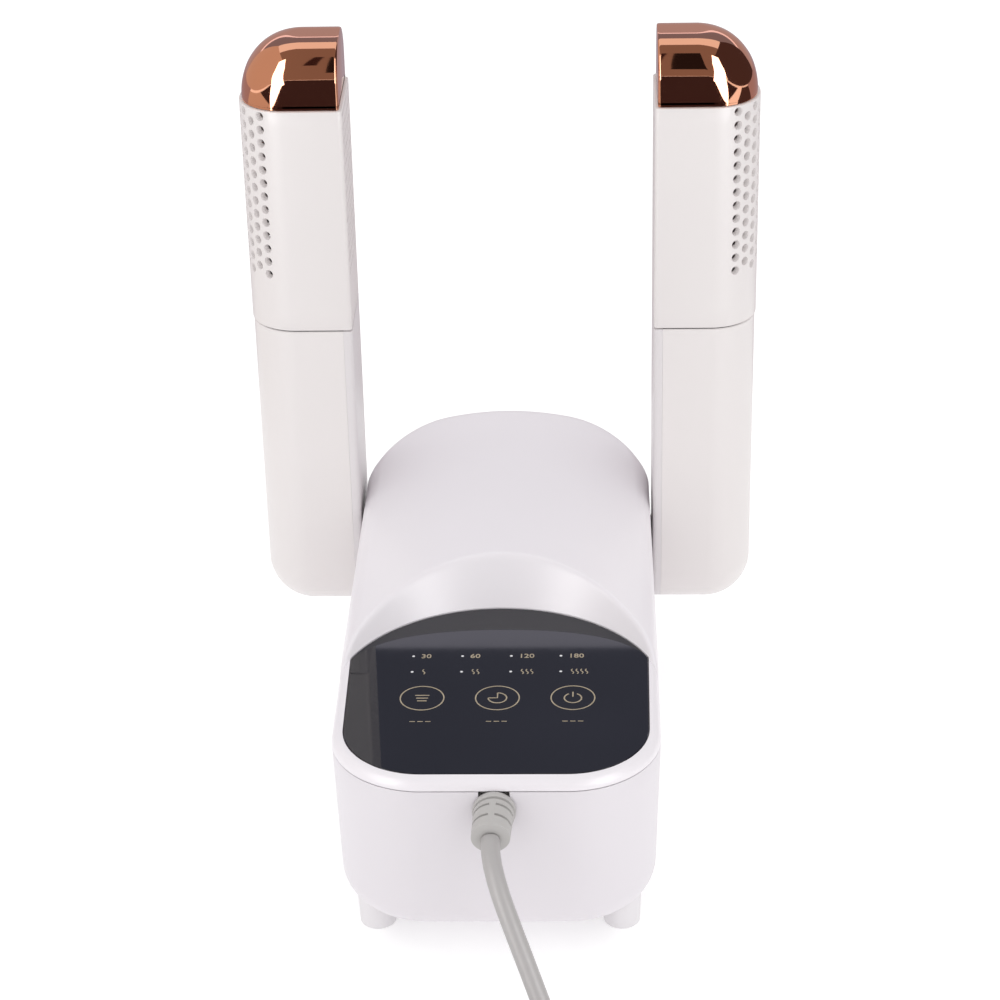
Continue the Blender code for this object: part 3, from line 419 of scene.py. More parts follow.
def smooth_route(points, step):
    """Evenly spaced points on a smooth curve through the route's own points."""
    ends = [Vector(p) for p in points]
    ends = [2 * ends[0] - ends[1]] + ends + [2 * ends[-1] - ends[-2]]
    fine = []
    for a, b, c, d in zip(ends, ends[1:], ends[2:], ends[3:]):
        for i in range(CURVE_STEPS):
            t = i / CURVE_STEPS
            straight = 2 * b + (c - a) * t
            square = (2 * a - 5 * b + 4 * c - d) * t**2
            cube = (3 * b - a - 3 * c + d) * t**3
            fine.append(0.5 * (straight + square + cube))
    fine.append(ends[-2])
    lengths = [0.0]
    for a, b in zip(fine, fine[1:]):
        lengths.append(lengths[-1] + (b - a).length)
    count = max(2, round(lengths[-1] / step))
    spaced = []
    for i in range(count + 1):
        want = lengths[-1] * i / count
        j = max(k for k in range(len(fine) - 1) if lengths[k] <= want + 1e-9)
        part = (want - lengths[j]) / max(1e-9, lengths[j + 1] - lengths[j])
        spaced.append(fine[j].lerp(fine[j + 1], min(1.0, part)))
    return spaced


# ---- mains lead ------------------------------------------------------------------------------
COIL_CENTRE = (COIL_LOW + COIL_HIGH) / 2
TURN_RADII = [(COIL_HIGH.x - COIL_LOW.x) / 2 - CORD_DIAMETER * (0.5 + k) for k in range(3)]
# The layers of the coil: outer to inner on the floor, then inner to outer on top of it.
TURNS = [(r, 0) for r in TURN_RADII] + [(r, 1) for r in reversed(TURN_RADII)]
TURN_STEPS = 48
SHIFT_SHARE = 0.2
LAST_TURN_SHARE = 0.25
LEAD_STEP = 0.005
LEAVING_RUN = Vector((-0.012, 0, -0.0012))


def coil_points():
    """Five and a quarter turns, clockwise from the right, each a diameter from the next."""
    points = []
    full = len(TURNS) - 1
    for i in range(round((full + LAST_TURN_SHARE) * TURN_STEPS) + 1):
        turn = min(full, i // TURN_STEPS)
        part = i / TURN_STEPS - turn
        radius, layer = TURNS[turn]
        if turn < full and part > 1 - SHIFT_SHARE:
            t = (part - 1 + SHIFT_SHARE) / SHIFT_SHARE
            t = t * t * (3 - 2 * t)
            radius += (TURNS[turn + 1][0] - radius) * t
            layer += (TURNS[turn + 1][1] - layer) * t
        angle = -2 * math.pi * (i / TURN_STEPS)
        x = COIL_CENTRE.x + radius * math.cos(angle)
        y = COIL_CENTRE.y + radius * math.sin(angle)
        points.append(Vector((x, y, CORD_DIAMETER * (0.5 + layer))))
    return points


def cord_points():
    coil = coil_points()
    leaving = [coil[-1]] + [Vector(p) for p in TAIL_ROUTE]
    leaving.insert(1, coil[-1] + LEAVING_RUN)
    joined = smooth_route(LEAD_ROUTE + (tuple(coil[0]),), LEAD_STEP)
    return joined[:-1] + coil + smooth_route(leaving, LEAD_STEP)[1:]


def cord_piece():
    points = cord_points()
    curve = bpy.data.curves.new("mains_lead", "CURVE")
    curve.dimensions = "3D"
    curve.bevel_depth = CORD_DIAMETER / 2
    curve.bevel_resolution = 6
    curve.use_fill_caps = True
    spline = curve.splines.new("POLY")
    spline.points.add(len(points) - 1)
    for place, point in zip(spline.points, points):
        place.co = (*point, 1)
    spline.use_smooth = True
    obj = placed("mains_lead", curve)
    curve.materials.append(FINISH["cord_grey"])
    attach(obj, "base")
    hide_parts("cord", "cord_coil", "cord_tail")
    return obj


RELIEF_COLLAR = 0.0071
RELIEF_SHOULDER = 0.0068
RELIEF_BODY = 0.0066
RELIEF_END = 0.00635
RELIEF_BORE = 0.0034
RELIEF_RISE = 0.0012
RELIEF_LEAN = math.radians(9)
RELIEF_SIDES = 120
RELIEF_STEPS = 90
RELIEF_CURVE_FROM = 0.003
RELIEF_CURVE_POWER = 1.6
RELIEF_OVERLAP = Vector((0, 0.0004, 0.0004))
# How far out of the wall, and the radius there: inner flange, neck, collar, groove and shoulder.
RELIEF_PROFILE = [
    (-0.0050, 0.0070), (-0.0048, 0.0074), (-0.0036, 0.0074), (-0.0034, 0.0070), (-0.0034, 0.0050),
    (0.0005, 0.0050), (0.0005, 0.0070), (0.0008, RELIEF_COLLAR), (0.0024, RELIEF_COLLAR),
    (0.0028, 0.0069), (0.0029, 0.0060), (0.0035, 0.0060), (0.0036, 0.0066), (0.0039, RELIEF_SHOULDER),
]
SLIT_PLACES = (0.0058, 0.0096)
SLIT_HALF_WIDTH = 0.00032
SLIT_DEPTH = 0.0013
SLIT_RISE_LIMIT = 0.985
SLIT_SIDE_LIMIT = 0.97


def relief_stations(out):
    """The whole profile, with a body that narrows to a flat end at the distance out."""
    stations = list(RELIEF_PROFILE)
    first = stations[-1][0]
    for i in range(1, RELIEF_STEPS):
        s = first + (out - 0.0002 - first) * i / RELIEF_STEPS
        share = i / RELIEF_STEPS
        narrowed = (RELIEF_BODY - RELIEF_SHOULDER) * min(1, 3 * share)
        tapered = (RELIEF_END - RELIEF_BODY) * share
        stations.append((s, RELIEF_SHOULDER + narrowed + tapered))
    for back, inset in ((0.00015, 0.0), (0.00004, 0.00006), (0.0, 0.0002)):
        stations.append((out - back, RELIEF_END - inset))
    return stations + [(out, RELIEF_BORE)]


def slit_cut(s, side_x, rise):
    """How deep the slits are at a place along the boot and round it."""
    near = min(abs(s - place) for place in SLIT_PLACES)
    open_here = abs(rise) < SLIT_RISE_LIMIT and abs(side_x) < SLIT_SIDE_LIMIT
    return SLIT_DEPTH if open_here and near < SLIT_HALF_WIDTH else 0.0


def strain_relief():
    """Flange, neck, collar, groove, and a boot with two rows of slits and a flat end."""
    wall_y = TUB_LOW.y
    start_z = (RELIEF_LOW.z + RELIEF_HIGH.z) / 2 + RELIEF_RISE
    end = Vector(LEAD_ROUTE[0]) + RELIEF_OVERLAP
    out = wall_y - end.y
    rings = []
    for s, radius in relief_stations(out):
        share = max(0.0, s - RELIEF_CURVE_FROM) / (out - RELIEF_CURVE_FROM)
        drop = (start_z - end.z) * share**RELIEF_CURVE_POWER
        centre = Vector((end.x * share, wall_y - s, start_z - drop))
        lean = RELIEF_LEAN * share
        up = Vector((0, -math.sin(lean), math.cos(lean)))
        ring = []
        for i in range(RELIEF_SIDES):
            t = 2 * math.pi * i / RELIEF_SIDES
            side_x, rise = math.cos(t), math.sin(t)
            local = radius - slit_cut(s, side_x, rise)
            ring.append(centre + Vector((local * side_x, 0, 0)) + up * local * rise)
        rings.append(ring)
    mesh = loft_mesh("strain_relief_boot", rings)
    soften(mesh, 40)
    return piece("strain_relief_boot", mesh, "relief_grey", "base", ("strain_relief",))


def rounded_section(centre, half_x, half_z, corner, steps=6):
    points = []
    for sx, sz, start in ((1, 1, 0), (-1, 1, 90), (-1, -1, 180), (1, -1, 270)):
        middle = (centre.x + sx * (half_x - corner), centre.z + sz * (half_z - corner))
        points += [Vector((x, centre.y, z)) for x, z in arc(middle, corner, start, start + 90, steps)]
    return points


# Share of the plug's length, then of its half width and half height: ribbed neck, grip, face.
PLUG_PROFILE = (
    (0.0, 0.36, 0.58), (0.012, 0.40, 0.62), (0.05, 0.41, 0.63), (0.06, 0.35, 0.54), (0.085, 0.35, 0.54),
    (0.095, 0.43, 0.65), (0.135, 0.43, 0.66), (0.145, 0.37, 0.57), (0.17, 0.37, 0.57), (0.18, 0.45, 0.68),
    (0.22, 0.46, 0.69), (0.23, 0.40, 0.60), (0.255, 0.40, 0.60), (0.265, 0.48, 0.71), (0.33, 0.52, 0.75),
    (0.42, 0.70, 0.84), (0.50, 0.86, 0.93), (0.58, 0.95, 0.98), (0.68, 0.97, 0.96), (0.78, 0.94, 0.93),
    (0.88, 0.97, 0.97), (0.94, 1.0, 1.0), (0.98, 1.0, 1.0), (0.995, 0.975, 0.965), (1.0, 0.94, 0.92),
)
PLUG_ROUNDING = 0.62


def plug_body():
    """A moulded two-pin plug: ribbed neck, swelling grip and a flat face."""
    middle = (PLUG_LOW + PLUG_HIGH) / 2
    half_x = (PLUG_HIGH.x - PLUG_LOW.x) / 2
    half_z = (PLUG_HIGH.z - PLUG_LOW.z) / 2
    length = PLUG_HIGH.y - PLUG_LOW.y
    rings = []
    for s, wide, tall in PLUG_PROFILE:
        centre = Vector((middle.x, PLUG_LOW.y + s * length, middle.z))
        corner = min(half_x * wide, half_z * tall) * PLUG_ROUNDING
        rings.append(rounded_section(centre, half_x * wide, half_z * tall, corner))
    mesh = loft_mesh("plug_body", rings)
    soften(mesh, 40)
    return piece("plug_body", mesh, "plug_grey", "base", ("plug",))


DIAGONAL = 0.7071
TIE_CLEARANCE = 0.0008
TIE_HEIGHT_CLEARANCE = 0.0007
TIE_SQUARENESS = 0.45
TIE_WALL_SHARE = 0.06
# Place along the strap's width, and how much the strap's edge is drawn in there.
TIE_PROFILE = ((-0.005, -0.0004), (-0.0048, 0.0), (0.0048, 0.0), (0.005, -0.0004))


def coil_tie():
    """A soft strap around the coil's turns at one place."""
    radius = sum(TURN_RADII) / 3
    outward = Vector((-DIAGONAL, DIAGONAL, 0))
    along = Vector((DIAGONAL, DIAGONAL, 0))
    centre = COIL_CENTRE + outward * radius
    half_r = (COIL_HIGH.x - COIL_LOW.x) / 2 - TURN_RADII[2] + CORD_DIAMETER / 2
    half_r = half_r / 2 + TIE_CLEARANCE
    half_z = CORD_DIAMETER + TIE_HEIGHT_CLEARANCE
    lowest = -CORD_DIAMETER + 0.0001
    rings = []
    for side, grow in TIE_PROFILE:
        ring = []
        for a, b in arc((0, 0), 1.0, 0, 357, 118):
            width = math.copysign(abs(a) ** TIE_SQUARENESS, a) * (half_r + grow)
            height = math.copysign(abs(b) ** TIE_SQUARENESS, b) * (half_z + grow)
            ring.append(centre + along * side + outward * width + Vector((0, 0, max(height, lowest))))
        rings.append(ring)
    inner = []
    for ring in rings:
        middles = [centre + along * (p - centre).dot(along) for p in ring]
        inner.append([p + (middle - p) * TIE_WALL_SHARE for p, middle in zip(ring, middles)])
    mesh = loft_mesh("coil_tie", rings + inner[::-1], loop=True)
    soften(mesh, 40)
    return piece("coil_tie", mesh, "cord_grey", "base", finish="foot_rubber")


# ---- base ------------------------------------------------------------------------------------
def footprint(inset, z, steps=22):
    """The base's plan outline at one height."""
    front_w = FRONT_HALF_WIDTH - inset
    rear_w = REAR_HALF_WIDTH - inset
    front_r = max(LEAST_CORNER, FRONT_CORNER - inset)
    rear_r = max(LEAST_CORNER, REAR_CORNER - inset)
    front = TUB_LOW.y + inset
    rear = TUB_HIGH.y - inset
    right = arc((front_w - front_r, front + front_r), front_r, -90, 0, steps)
    right += [(front_w, TAPER_START_Y - 0.02 + 0.01 * i) for i in range(3)]
    right += arc((rear_w - rear_r, rear - rear_r), rear_r, 0, 90, steps)
    whole = right + [(-x, y) for x, y in reversed(right)]
    return [Vector((x, y, z)) for x, y in whole]


def screw_spots(z):
    spots = []
    for i in range(1, 5):
        low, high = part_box(f"case_screw_{i}")
        spots.append(Vector(((low.x + high.x) / 2, (low.y + high.y) / 2, z)))
    return spots


def lower_tub():
    """A drafted tub with a rounded bottom edge, the air inlet, hub and screw holes and the lead's notch."""
    seam = TUB_HIGH.z
    rings = [footprint(SEAM_ROUNDING, seam), footprint(0.00008, seam - 0.0001), footprint(0.0, seam - 0.0003)]
    straight = FLOOR_Z + BOTTOM_ROUNDING
    for i in range(1, 7):
        z = seam - (seam - straight) * i / 6
        rings.append(footprint((seam - z) * DRAFT, z))
    lean = (seam - straight) * DRAFT
    for i in range(1, 13):
        t = math.radians(90 * i / 12)
        inset = lean + BOTTOM_ROUNDING * (1 - math.cos(t))
        rings.append(footprint(inset, straight - BOTTOM_ROUNDING * math.sin(t)))
    shell = thickened("tub", loft_mesh("tub", rings, cap_start=False), WALL)
    grille_low, grille_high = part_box("inlet_grille")
    inlet = (grille_low + grille_high) / 2
    inlet_radius = (grille_high.x - grille_low.x) / 2 + INLET_CLEARANCE
    pivot = Vector((0, PIVOT_Y, PIVOT_Z))
    relief_z = (RELIEF_LOW.z + RELIEF_HIGH.z) / 2
    before, behind = NOTCH_REACH
    notch_low = (-NOTCH_HALF_WIDTH, TUB_LOW.y + before, relief_z - NOTCH_DROP)
    notch_high = (NOTCH_HALF_WIDTH, TUB_LOW.y + behind, NOTCH_TOP_Z)
    cutters = [
        rod_mesh("inlet", [inlet], inlet_radius, CUT_DEPTH, sides=96),
        rod_mesh("hub_holes", [pivot], HUB_HOLE, HUB_CUT_LENGTH, "X", 48),
        rod_mesh("counterbores", screw_spots(FLOOR_Z), COUNTERBORE_RADIUS, CUT_DEPTH),
        block_mesh("notch", notch_low, notch_high),
    ]
    mesh = carved("base_tub", shell, cutters)
    return piece("base_tub", mesh, "base_white", "base", ("lower_shell",))


def arch_z(x):
    return ARCH_TOP_Z - ARCH_RADIUS + math.sqrt(ARCH_RADIUS**2 - x * x)


def scoop_z(x, y):
    if y < SCOOP_Y:
        return DECK_Z
    reach = math.hypot(x, y - SCOOP_Y) - SCOOP_RADIUS
    return DECK_Z + max(0.0, reach) / SCOOP_FLARE


def blend_low(a, b, width):
    """The lower of two heights, rounded where they cross."""
    gap = max(0.0, width - abs(a - b)) / width
    return min(a, b) - gap * gap * width * 0.25


def front_edge(x):
    """The y of the outline's front at x."""
    over = max(0.0, abs(x) - (FRONT_HALF_WIDTH - FRONT_CORNER))
    return TUB_LOW.y + FRONT_CORNER - math.sqrt(max(0.0, FRONT_CORNER**2 - over * over))


def rear_edge(x):
    """The y of the outline's rear at x."""
    over = max(0.0, abs(x) - (FRONT_HALF_WIDTH - FRONT_CORNER))
    return TUB_HIGH.y - FRONT_CORNER + math.sqrt(max(0.0, FRONT_CORNER**2 - over * over))


def narrowing(y):
    """The base is a little narrower behind the taper's start."""
    share = min(1.0, max(0.0, (y - TAPER_START_Y) / TAPER_LENGTH))
    return 1 - (1 - REAR_HALF_WIDTH / FRONT_HALF_WIDTH) * share


def edge_distance(x, y):
    """How far a plan point is inside the outline, near the edge."""
    corner_x = FRONT_HALF_WIDTH - FRONT_CORNER
    for corner_y, sign in ((TUB_LOW.y + FRONT_CORNER, -1), (TUB_HIGH.y - FRONT_CORNER, 1)):
        if abs(x) > corner_x and sign * (y - corner_y) > 0:
            return FRONT_CORNER - math.hypot(abs(x) - corner_x, y - corner_y)
    return min(FRONT_HALF_WIDTH - abs(x), y - TUB_LOW.y, TUB_HIGH.y - y)


def drop_at_edge(inside, radius):
    if inside >= radius:
        return 0.0
    return radius - math.sqrt(max(0.0, radius**2 - (radius - max(0.0, inside)) ** 2))


# The cover's edge rounding grows from the deck's to the sides' once it has risen off the deck.
RISE_FROM, RISE_OVER = 0.0005, 0.004
BACK_FROM_Y, BACK_OVER = 0.10, 0.012
BACK_HALF_WIDTH = 0.05


def cover_z(x, y):
    """The cover's height: the lower of arch and scoop, rounded down at the outline."""
    height = blend_low(arch_z(x), scoop_z(x, y), CREASE_BLEND)
    raised = min(1.0, max(0.0, (height - DECK_Z - RISE_FROM) / RISE_OVER))
    back = min(1.0, max(0.0, (y - BACK_FROM_Y) / BACK_OVER))
    side = SIDE_ROUNDING + (REAR_ROUNDING - SIDE_ROUNDING) * back * max(0.0, 1 - abs(x) / BACK_HALF_WIDTH)
    radius = DECK_ROUNDING + (side - DECK_ROUNDING) * raised
    return height - drop_at_edge(edge_distance(x, y), radius)


def eased(count):
    """Shares from 0 to 1, close together at both ends."""
    return [(1 - math.cos(math.pi * i / count)) / 2 for i in range(count + 1)]


COVER_COLUMNS = 150
COVER_ROWS = (34, 12, 14, 60)
CREASE_REACH = 0.0024
OUTERMOST = 0.999999
# How far the wall's last levels are drawn in, and how far they are above the seam.
SEAM_LEVELS = ((1.0, SEAM_ROUNDING), (0.9985, 0.0001), (0.995, 0.0))
MERGE_DISTANCE = 0.000005


def cover_rows(x):
    """The y places of the cover's rows at one x: deck, scoop slope, crease and arch."""
    foot = SCOOP_Y + math.sqrt(max(1e-8, SCOOP_RADIUS**2 - x * x))
    ridge_reach = SCOOP_RADIUS + SCOOP_FLARE * (arch_z(x) - DECK_Z)
    ridge = SCOOP_Y + math.sqrt(max(1e-8, ridge_reach**2 - x * x))
    front = front_edge(x)
    rear = rear_edge(x)
    near = CREASE_REACH
    deck_rows, slope_rows, crease_rows, arch_rows = COVER_ROWS
    ys = [front + (foot - front) * t for t in eased(deck_rows)]
    ys += [foot + (ridge - near - foot) * t for t in eased(slope_rows)[1:]]
    ys += [ridge - near + 2 * near * i / crease_rows for i in range(1, crease_rows + 1)]
    ys += [ridge + near + (rear - ridge - near) * t for t in eased(arch_rows)[1:]]
    return ys


def cover_mesh():
    """The cover's outer face as a grid over its plan, with a wall down to the seam."""
    bm = bmesh.new()
    grid = []
    for i in range(COVER_COLUMNS + 1):
        x = FRONT_HALF_WIDTH * OUTERMOST * math.sin(math.pi * (i / COVER_COLUMNS - 0.5))
        column = []
        for y in cover_rows(x):
            column.append(bm.verts.new((x * narrowing(y), y, cover_z(x, y))))
        grid.append(column)
    for a, b in zip(grid, grid[1:]):
        for j in range(len(a) - 1):
            bm.faces.new((a[j], b[j], b[j + 1], a[j + 1]))
    rim = [column[0] for column in grid] + grid[-1][1:]
    rim += [column[-1] for column in reversed(grid[:-1])] + grid[0][-2:0:-1]
    seam = TUB_HIGH.z + SEAM_GAP
    above = rim
    for scale, lift in SEAM_LEVELS:
        ring = [bm.verts.new((v.co.x * scale, v.co.y * scale, seam + lift)) for v in rim]
        for k in range(len(rim)):
            n = (k + 1) % len(rim)
            bm.faces.new((above[k], ring[k], ring[n], above[n]))
        above = ring
    bmesh.ops.remove_doubles(bm, verts=bm.verts, dist=MERGE_DISTANCE)
    bmesh.ops.dissolve_degenerate(bm, edges=bm.edges, dist=MERGE_DISTANCE)
    bmesh.ops.recalc_face_normals(bm, faces=bm.faces)
    return mesh_of(bm, "cover")


def panel_outline(margin, z, steps=24):
    """The panel's plan outline, grown by a margin: round front corners and a round back."""
    half = PANEL_HIGH.x + margin
    radius = SCOOP_RADIUS + margin
    end = math.degrees(math.acos(half / radius))
    corner = PANEL_CORNER + margin
    side_x = half - PANEL_SIDE_INSET
    front_y = PANEL_LOW.y - margin
    right = arc((side_x - corner, front_y + corner), corner, -90, 0, steps)
    right += arc((0, SCOOP_Y), radius, end, 90, steps)
    whole = right + [(-x, y) for x, y in reversed(right[:-1])]
    return [Vector((x, y, z)) for x, y in whole]


def top_cover():
    shell = thickened("cover", cover_mesh(), COVER_WALL)
    levels = (DECK_Z - RECESS_DEPTH, DECK_Z + CUT_DEPTH / 2)
    recess = loft_mesh("recess", [panel_outline(PANEL_GAP, z) for z in levels])
    mesh = carved("top_cover", shell, [recess])
    return piece("top_cover", mesh, "cover_white", "base", ("upper_shell",))


def panel():
    rings = [
        panel_outline(0.0, DECK_Z - PANEL_THICKNESS),
        panel_outline(0.0, DECK_Z - 0.00025),
        panel_outline(-0.0001, DECK_Z - 0.0001),
        panel_outline(-0.0003, DECK_Z),
    ]
    mesh = loft_mesh("panel_glass", rings)
    soften(mesh, 20)
    return piece("panel_glass", mesh, "panel_black", "base", ("control_panel",))


# ---- marks on the panel ----------------------------------------------------------------------
RING_X = (-0.0254, 0.0, 0.0254)
RING_Y = -0.0678
RING_RADIUS = 0.00755
LAMP_X = (-0.0296, -0.0127, 0.0041, 0.0212)
TIMER_Y = -0.0411
HEAT_Y = -0.0512
LABEL_Y = -0.0822
MARK_HEIGHT = 0.00006
MARK_SINK = 0.00002
RING_LINE = 0.00042
ICON_LINE = 0.00046
WAVE_LINE = 0.00034
LAMP_RADIUS = 0.00048
WAVE_OFFSET, WAVE_PITCH = 0.0040, 0.0016
WAVE_SWING, WAVE_HEIGHT, WAVE_STEPS = 0.0004, 0.0030, 12
DASH_PITCH, DASH_HALF_LENGTH = 0.0026, 0.0009
BAR_PITCH, BAR_HALF_LENGTH, BAR_SHORTENING = 0.0017, 0.0024, 0.0004
CLOCK_RADIUS = 0.0031
POWER_RADIUS = 0.0029
POWER_GAP = (118, 422)
POWER_BAR = (0.0036, 0.0006)
DIGIT_SIZE, DIGIT_OFFSET, DIGIT_BOLDNESS = 0.0036, 0.0026, 0.00004


def stroke_mesh(name, lines, width):
    """Printed lines as thin strips; each line is a list of plan points."""
    bm = bmesh.new()
    low, high = DECK_Z - MARK_SINK, DECK_Z + MARK_HEIGHT
    for line in lines:
        closed = line[0] == line[-1]
        pts = [Vector(p) for p in (line[:-1] if closed else line)]
        count = len(pts)
        sides = []
        for i, p in enumerate(pts):
            before = pts[i - 1] if closed or i else p
            after = pts[(i + 1) % count] if closed or i < count - 1 else p
            run = (after - before).normalized()
            across = Vector((-run.y, run.x)) * width / 2
            left, right = p + across, p - across
            corners = ((left, low), (left, high), (right, high), (right, low))
            sides.append([bm.verts.new((*spot, z)) for spot, z in corners])
        for i in range(count if closed else count - 1):
            a, b = sides[i], sides[(i + 1) % count]
            for k in range(4):
                n = (k + 1) % 4
                bm.faces.new((a[k], a[n], b[n], b[k]))
        if not closed:
            bm.faces.new(sides[0])
            bm.faces.new(sides[-1])
    bmesh.ops.recalc_face_normals(bm, faces=bm.faces)
    return mesh_of(bm, name)


def circle_line(x, y, radius, start=0, end=360, steps=48):
    line = arc((x, y), radius, start, end, steps)
    if end - start == 360:
        line[-1] = line[0]
    return line


def printed(name, lines, width):
    return piece(name, stroke_mesh(name, lines, width), "panel_black", "base", finish="mark_gold")


def touch_rings():
    lines = [circle_line(x, RING_Y, RING_RADIUS - 0.0002, steps=72) for x in RING_X]
    return printed("touch_rings", lines, RING_LINE)


def touch_icons():
    """Three bars, a clock and a power sign, all plain generic signs."""
    left, middle, right = RING_X
    lines = []
    for i in range(3):
        half = BAR_HALF_LENGTH - BAR_SHORTENING * i
        y = RING_Y + (1 - i) * BAR_PITCH
        lines.append([(left - half, y), (left + half, y)])
    lines.append(circle_line(middle, RING_Y, CLOCK_RADIUS, 180, 450, 40))
    lines.append([(middle, RING_Y + CLOCK_RADIUS), (middle, RING_Y), (middle - CLOCK_RADIUS, RING_Y)])
    lines.append(circle_line(right, RING_Y - 0.0002, POWER_RADIUS, *POWER_GAP, 40))
    lines.append([(right, RING_Y + y) for y in POWER_BAR])
    return printed("touch_icons", lines, ICON_LINE)


def heat_icons():
    """One to four small waves for the heat steps, and short dashes under the rings."""
    lines = []
    for step, lamp in enumerate(LAMP_X):
        for k in range(step + 1):
            x = lamp + WAVE_OFFSET + WAVE_PITCH * k
            wave = []
            for i in range(WAVE_STEPS + 1):
                t = i / WAVE_STEPS
                sway = WAVE_SWING * math.sin(2 * math.pi * t)
                wave.append((x + sway, HEAT_Y - WAVE_HEIGHT / 2 + WAVE_HEIGHT * t))
            lines.append(wave)
    for x in RING_X:
        for k in (-1, 0, 1):
            middle = x + DASH_PITCH * k
            lines.append([(middle - DASH_HALF_LENGTH, LABEL_Y), (middle + DASH_HALF_LENGTH, LABEL_Y)])
    return printed("heat_icons", lines, WAVE_LINE)


def lamps():
    spots = [Vector((x, y, DECK_Z)) for x in LAMP_X for y in (TIMER_Y, HEAT_Y)]
    mesh = rod_mesh("indicator_lamps", spots, LAMP_RADIUS, 2 * MARK_HEIGHT, sides=20)
    return piece("indicator_lamps", mesh, "panel_black", "base", finish="lamp_white")


def timer_numbers():
    """The minutes of the four timer steps."""
    for lamp, minutes in zip(LAMP_X, ("30", "60", "120", "180")):
        name = "minutes_" + minutes
        text = bpy.data.curves.new(name, "FONT")
        text.body = minutes
        text.size = DIGIT_SIZE
        text.extrude = MARK_HEIGHT / 2
        text.offset = DIGIT_BOLDNESS
        text.resolution_u = 3
        obj = placed(name, text)
        obj.location = (lamp + DIGIT_OFFSET, TIMER_Y - DIGIT_SIZE / 3, DECK_Z + MARK_HEIGHT / 2)
        mesh = finished_mesh(name, obj)
        mesh.transform(obj.matrix_world)
        bpy.data.objects.remove(obj, do_unlink=True)
        piece(name, mesh, "panel_black", "base", finish="mark_gold")


# ---- feet ------------------------------------------------------------------------------------
# Radius and height of a foot, from the floor up.
FOOT_PROFILE = ((0.0055, 0.0), (0.0060, 0.0001), (0.0062, 0.0004), (0.0064, 0.006), (0.0068, 0.0146))
FOOT_SIDES = 48


def feet():
    last = 360 - 360 / FOOT_SIDES
    for name in ("front_left", "front_right", "rear_left", "rear_right"):
        low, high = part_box(name + "_foot")
        centre = (low + high) / 2
        rings = []
        for radius, z in FOOT_PROFILE:
            circle = arc((centre.x, centre.y), radius, 0, last, FOOT_SIDES - 1)
            rings.append([Vector((x, y, z)) for x, y in circle])
        mesh = loft_mesh(name + "_stub", rings)
        soften(mesh, 40)
        piece(name + "_stub", mesh, "foot_rubber", "base", (name + "_foot",))


# ---- arms ------------------------------------------------------------------------------------
def d_ring(side, inner_x, outer_x, half_depth, corner, z, edge=0.0, steps=16):
    """One level of an arm: flat inner side, round outer side, and slightly rounded inner corners."""
    corner = min(corner, half_depth)
    points = []
    if edge:
        points += arc((inner_x + edge, -half_depth + edge), edge, 180, 270, 5)
    else:
        points.append((inner_x, -half_depth))
    points += arc((outer_x - corner, -half_depth + corner), corner, -90, 0, steps)
    points += arc((outer_x - corner, half_depth - corner), corner, 0, 90, steps)
    if edge:
        points += arc((inner_x + edge, half_depth - edge), edge, 90, 180, 5)
    else:
        points.append((inner_x, half_depth))
    return [Vector((side * x, PIVOT_Y + y, z)) for x, y in points]


ARM_FOOT_LEVELS = 22
ARM_FOOT_ANGLE = 2.5


def arm_levels():
    """Heights with the half depth and outer x there, from the round foot to the seam."""
    levels = []
    for i in range(ARM_FOOT_LEVELS + 1):
        angle = ARM_FOOT_ANGLE + (90 - ARM_FOOT_ANGLE) * i / ARM_FOOT_LEVELS
        levels.append(PIVOT_Z - ARM_HALF_DEPTH * math.cos(math.radians(angle)))
    top = ARM_HIGH.z
    levels += [PIVOT_Z + (top - PIVOT_Z) * i / 8 for i in range(1, 8)] + [top - 0.0003, top - 0.0001, top]
    rows = []
    for z in levels:
        below = max(0.0, PIVOT_Z - z)
        half = math.sqrt(max(0.0, ARM_HALF_DEPTH**2 - below**2))
        foot = max(0.0, ARM_LOW.z + ARM_CORNER - z)
        outer = ARM_HIGH.x - ARM_CORNER + math.sqrt(max(0.0, ARM_CORNER**2 - foot**2))
        trim = max(0.0, z - top + 0.0003)
        rows.append((z, half - trim, outer - trim))
    return rows


def lower_arm(hand, side):
    """The lower length of an arm: a shell open at the top, and the flat plate on its inner side."""
    rings = []
    for z, half, outer in arm_levels():
        rings.append(d_ring(side, ARM_LOW.x, outer, half, ARM_CORNER, z))
    sheet = loft_mesh("arm", rings, closed=False, cap_start=False, cap_end=False)
    flip_outward(sheet, Vector((side * ARM_LOW.x, PIVOT_Y, (PIVOT_Z + ARM_HIGH.z) / 2)))
    mesh = thickened(f"{hand}_arm_body", sheet, ARM_WALL)
    piece(f"{hand}_arm_body", mesh, "arm_white", f"{hand}_arm", (f"{hand}_arm_shell",))

    rings = []
    for x, inset in ((ARM_LOW.x - SIDE_GAP, 0.0), *side_rounding()):
        radius = ARM_HALF_DEPTH - inset
        top = SIDE_HIGH.z - min(inset, SEAM_ROUNDING)
        ring = [Vector((side * x, y, z)) for y, z in arc((PIVOT_Y, PIVOT_Z), radius, -180, 0, 48)]
        ring += [Vector((side * x, PIVOT_Y + radius, top)), Vector((side * x, PIVOT_Y - radius, top))]
        rings.append(ring)
    plate = loft_mesh("side", rings)
    hole = rod_mesh("hole", [Vector((0, PIVOT_Y, PIVOT_Z))], HUB_HOLE, ARM_CUT_LENGTH, "X", 48)
    mesh = carved(f"{hand}_arm_side", plate, [hole])
    piece(f"{hand}_arm_side", mesh, "arm_cover_white", f"{hand}_arm", (f"{hand}_arm_cover",))


def side_rounding():
    rows = []
    for i in range(7):
        t = math.radians(90 * i / 6)
        rows.append((SIDE_LOW.x + SIDE_EDGE * (1 - math.sin(t)), SIDE_EDGE * (1 - math.cos(t))))
    return rows


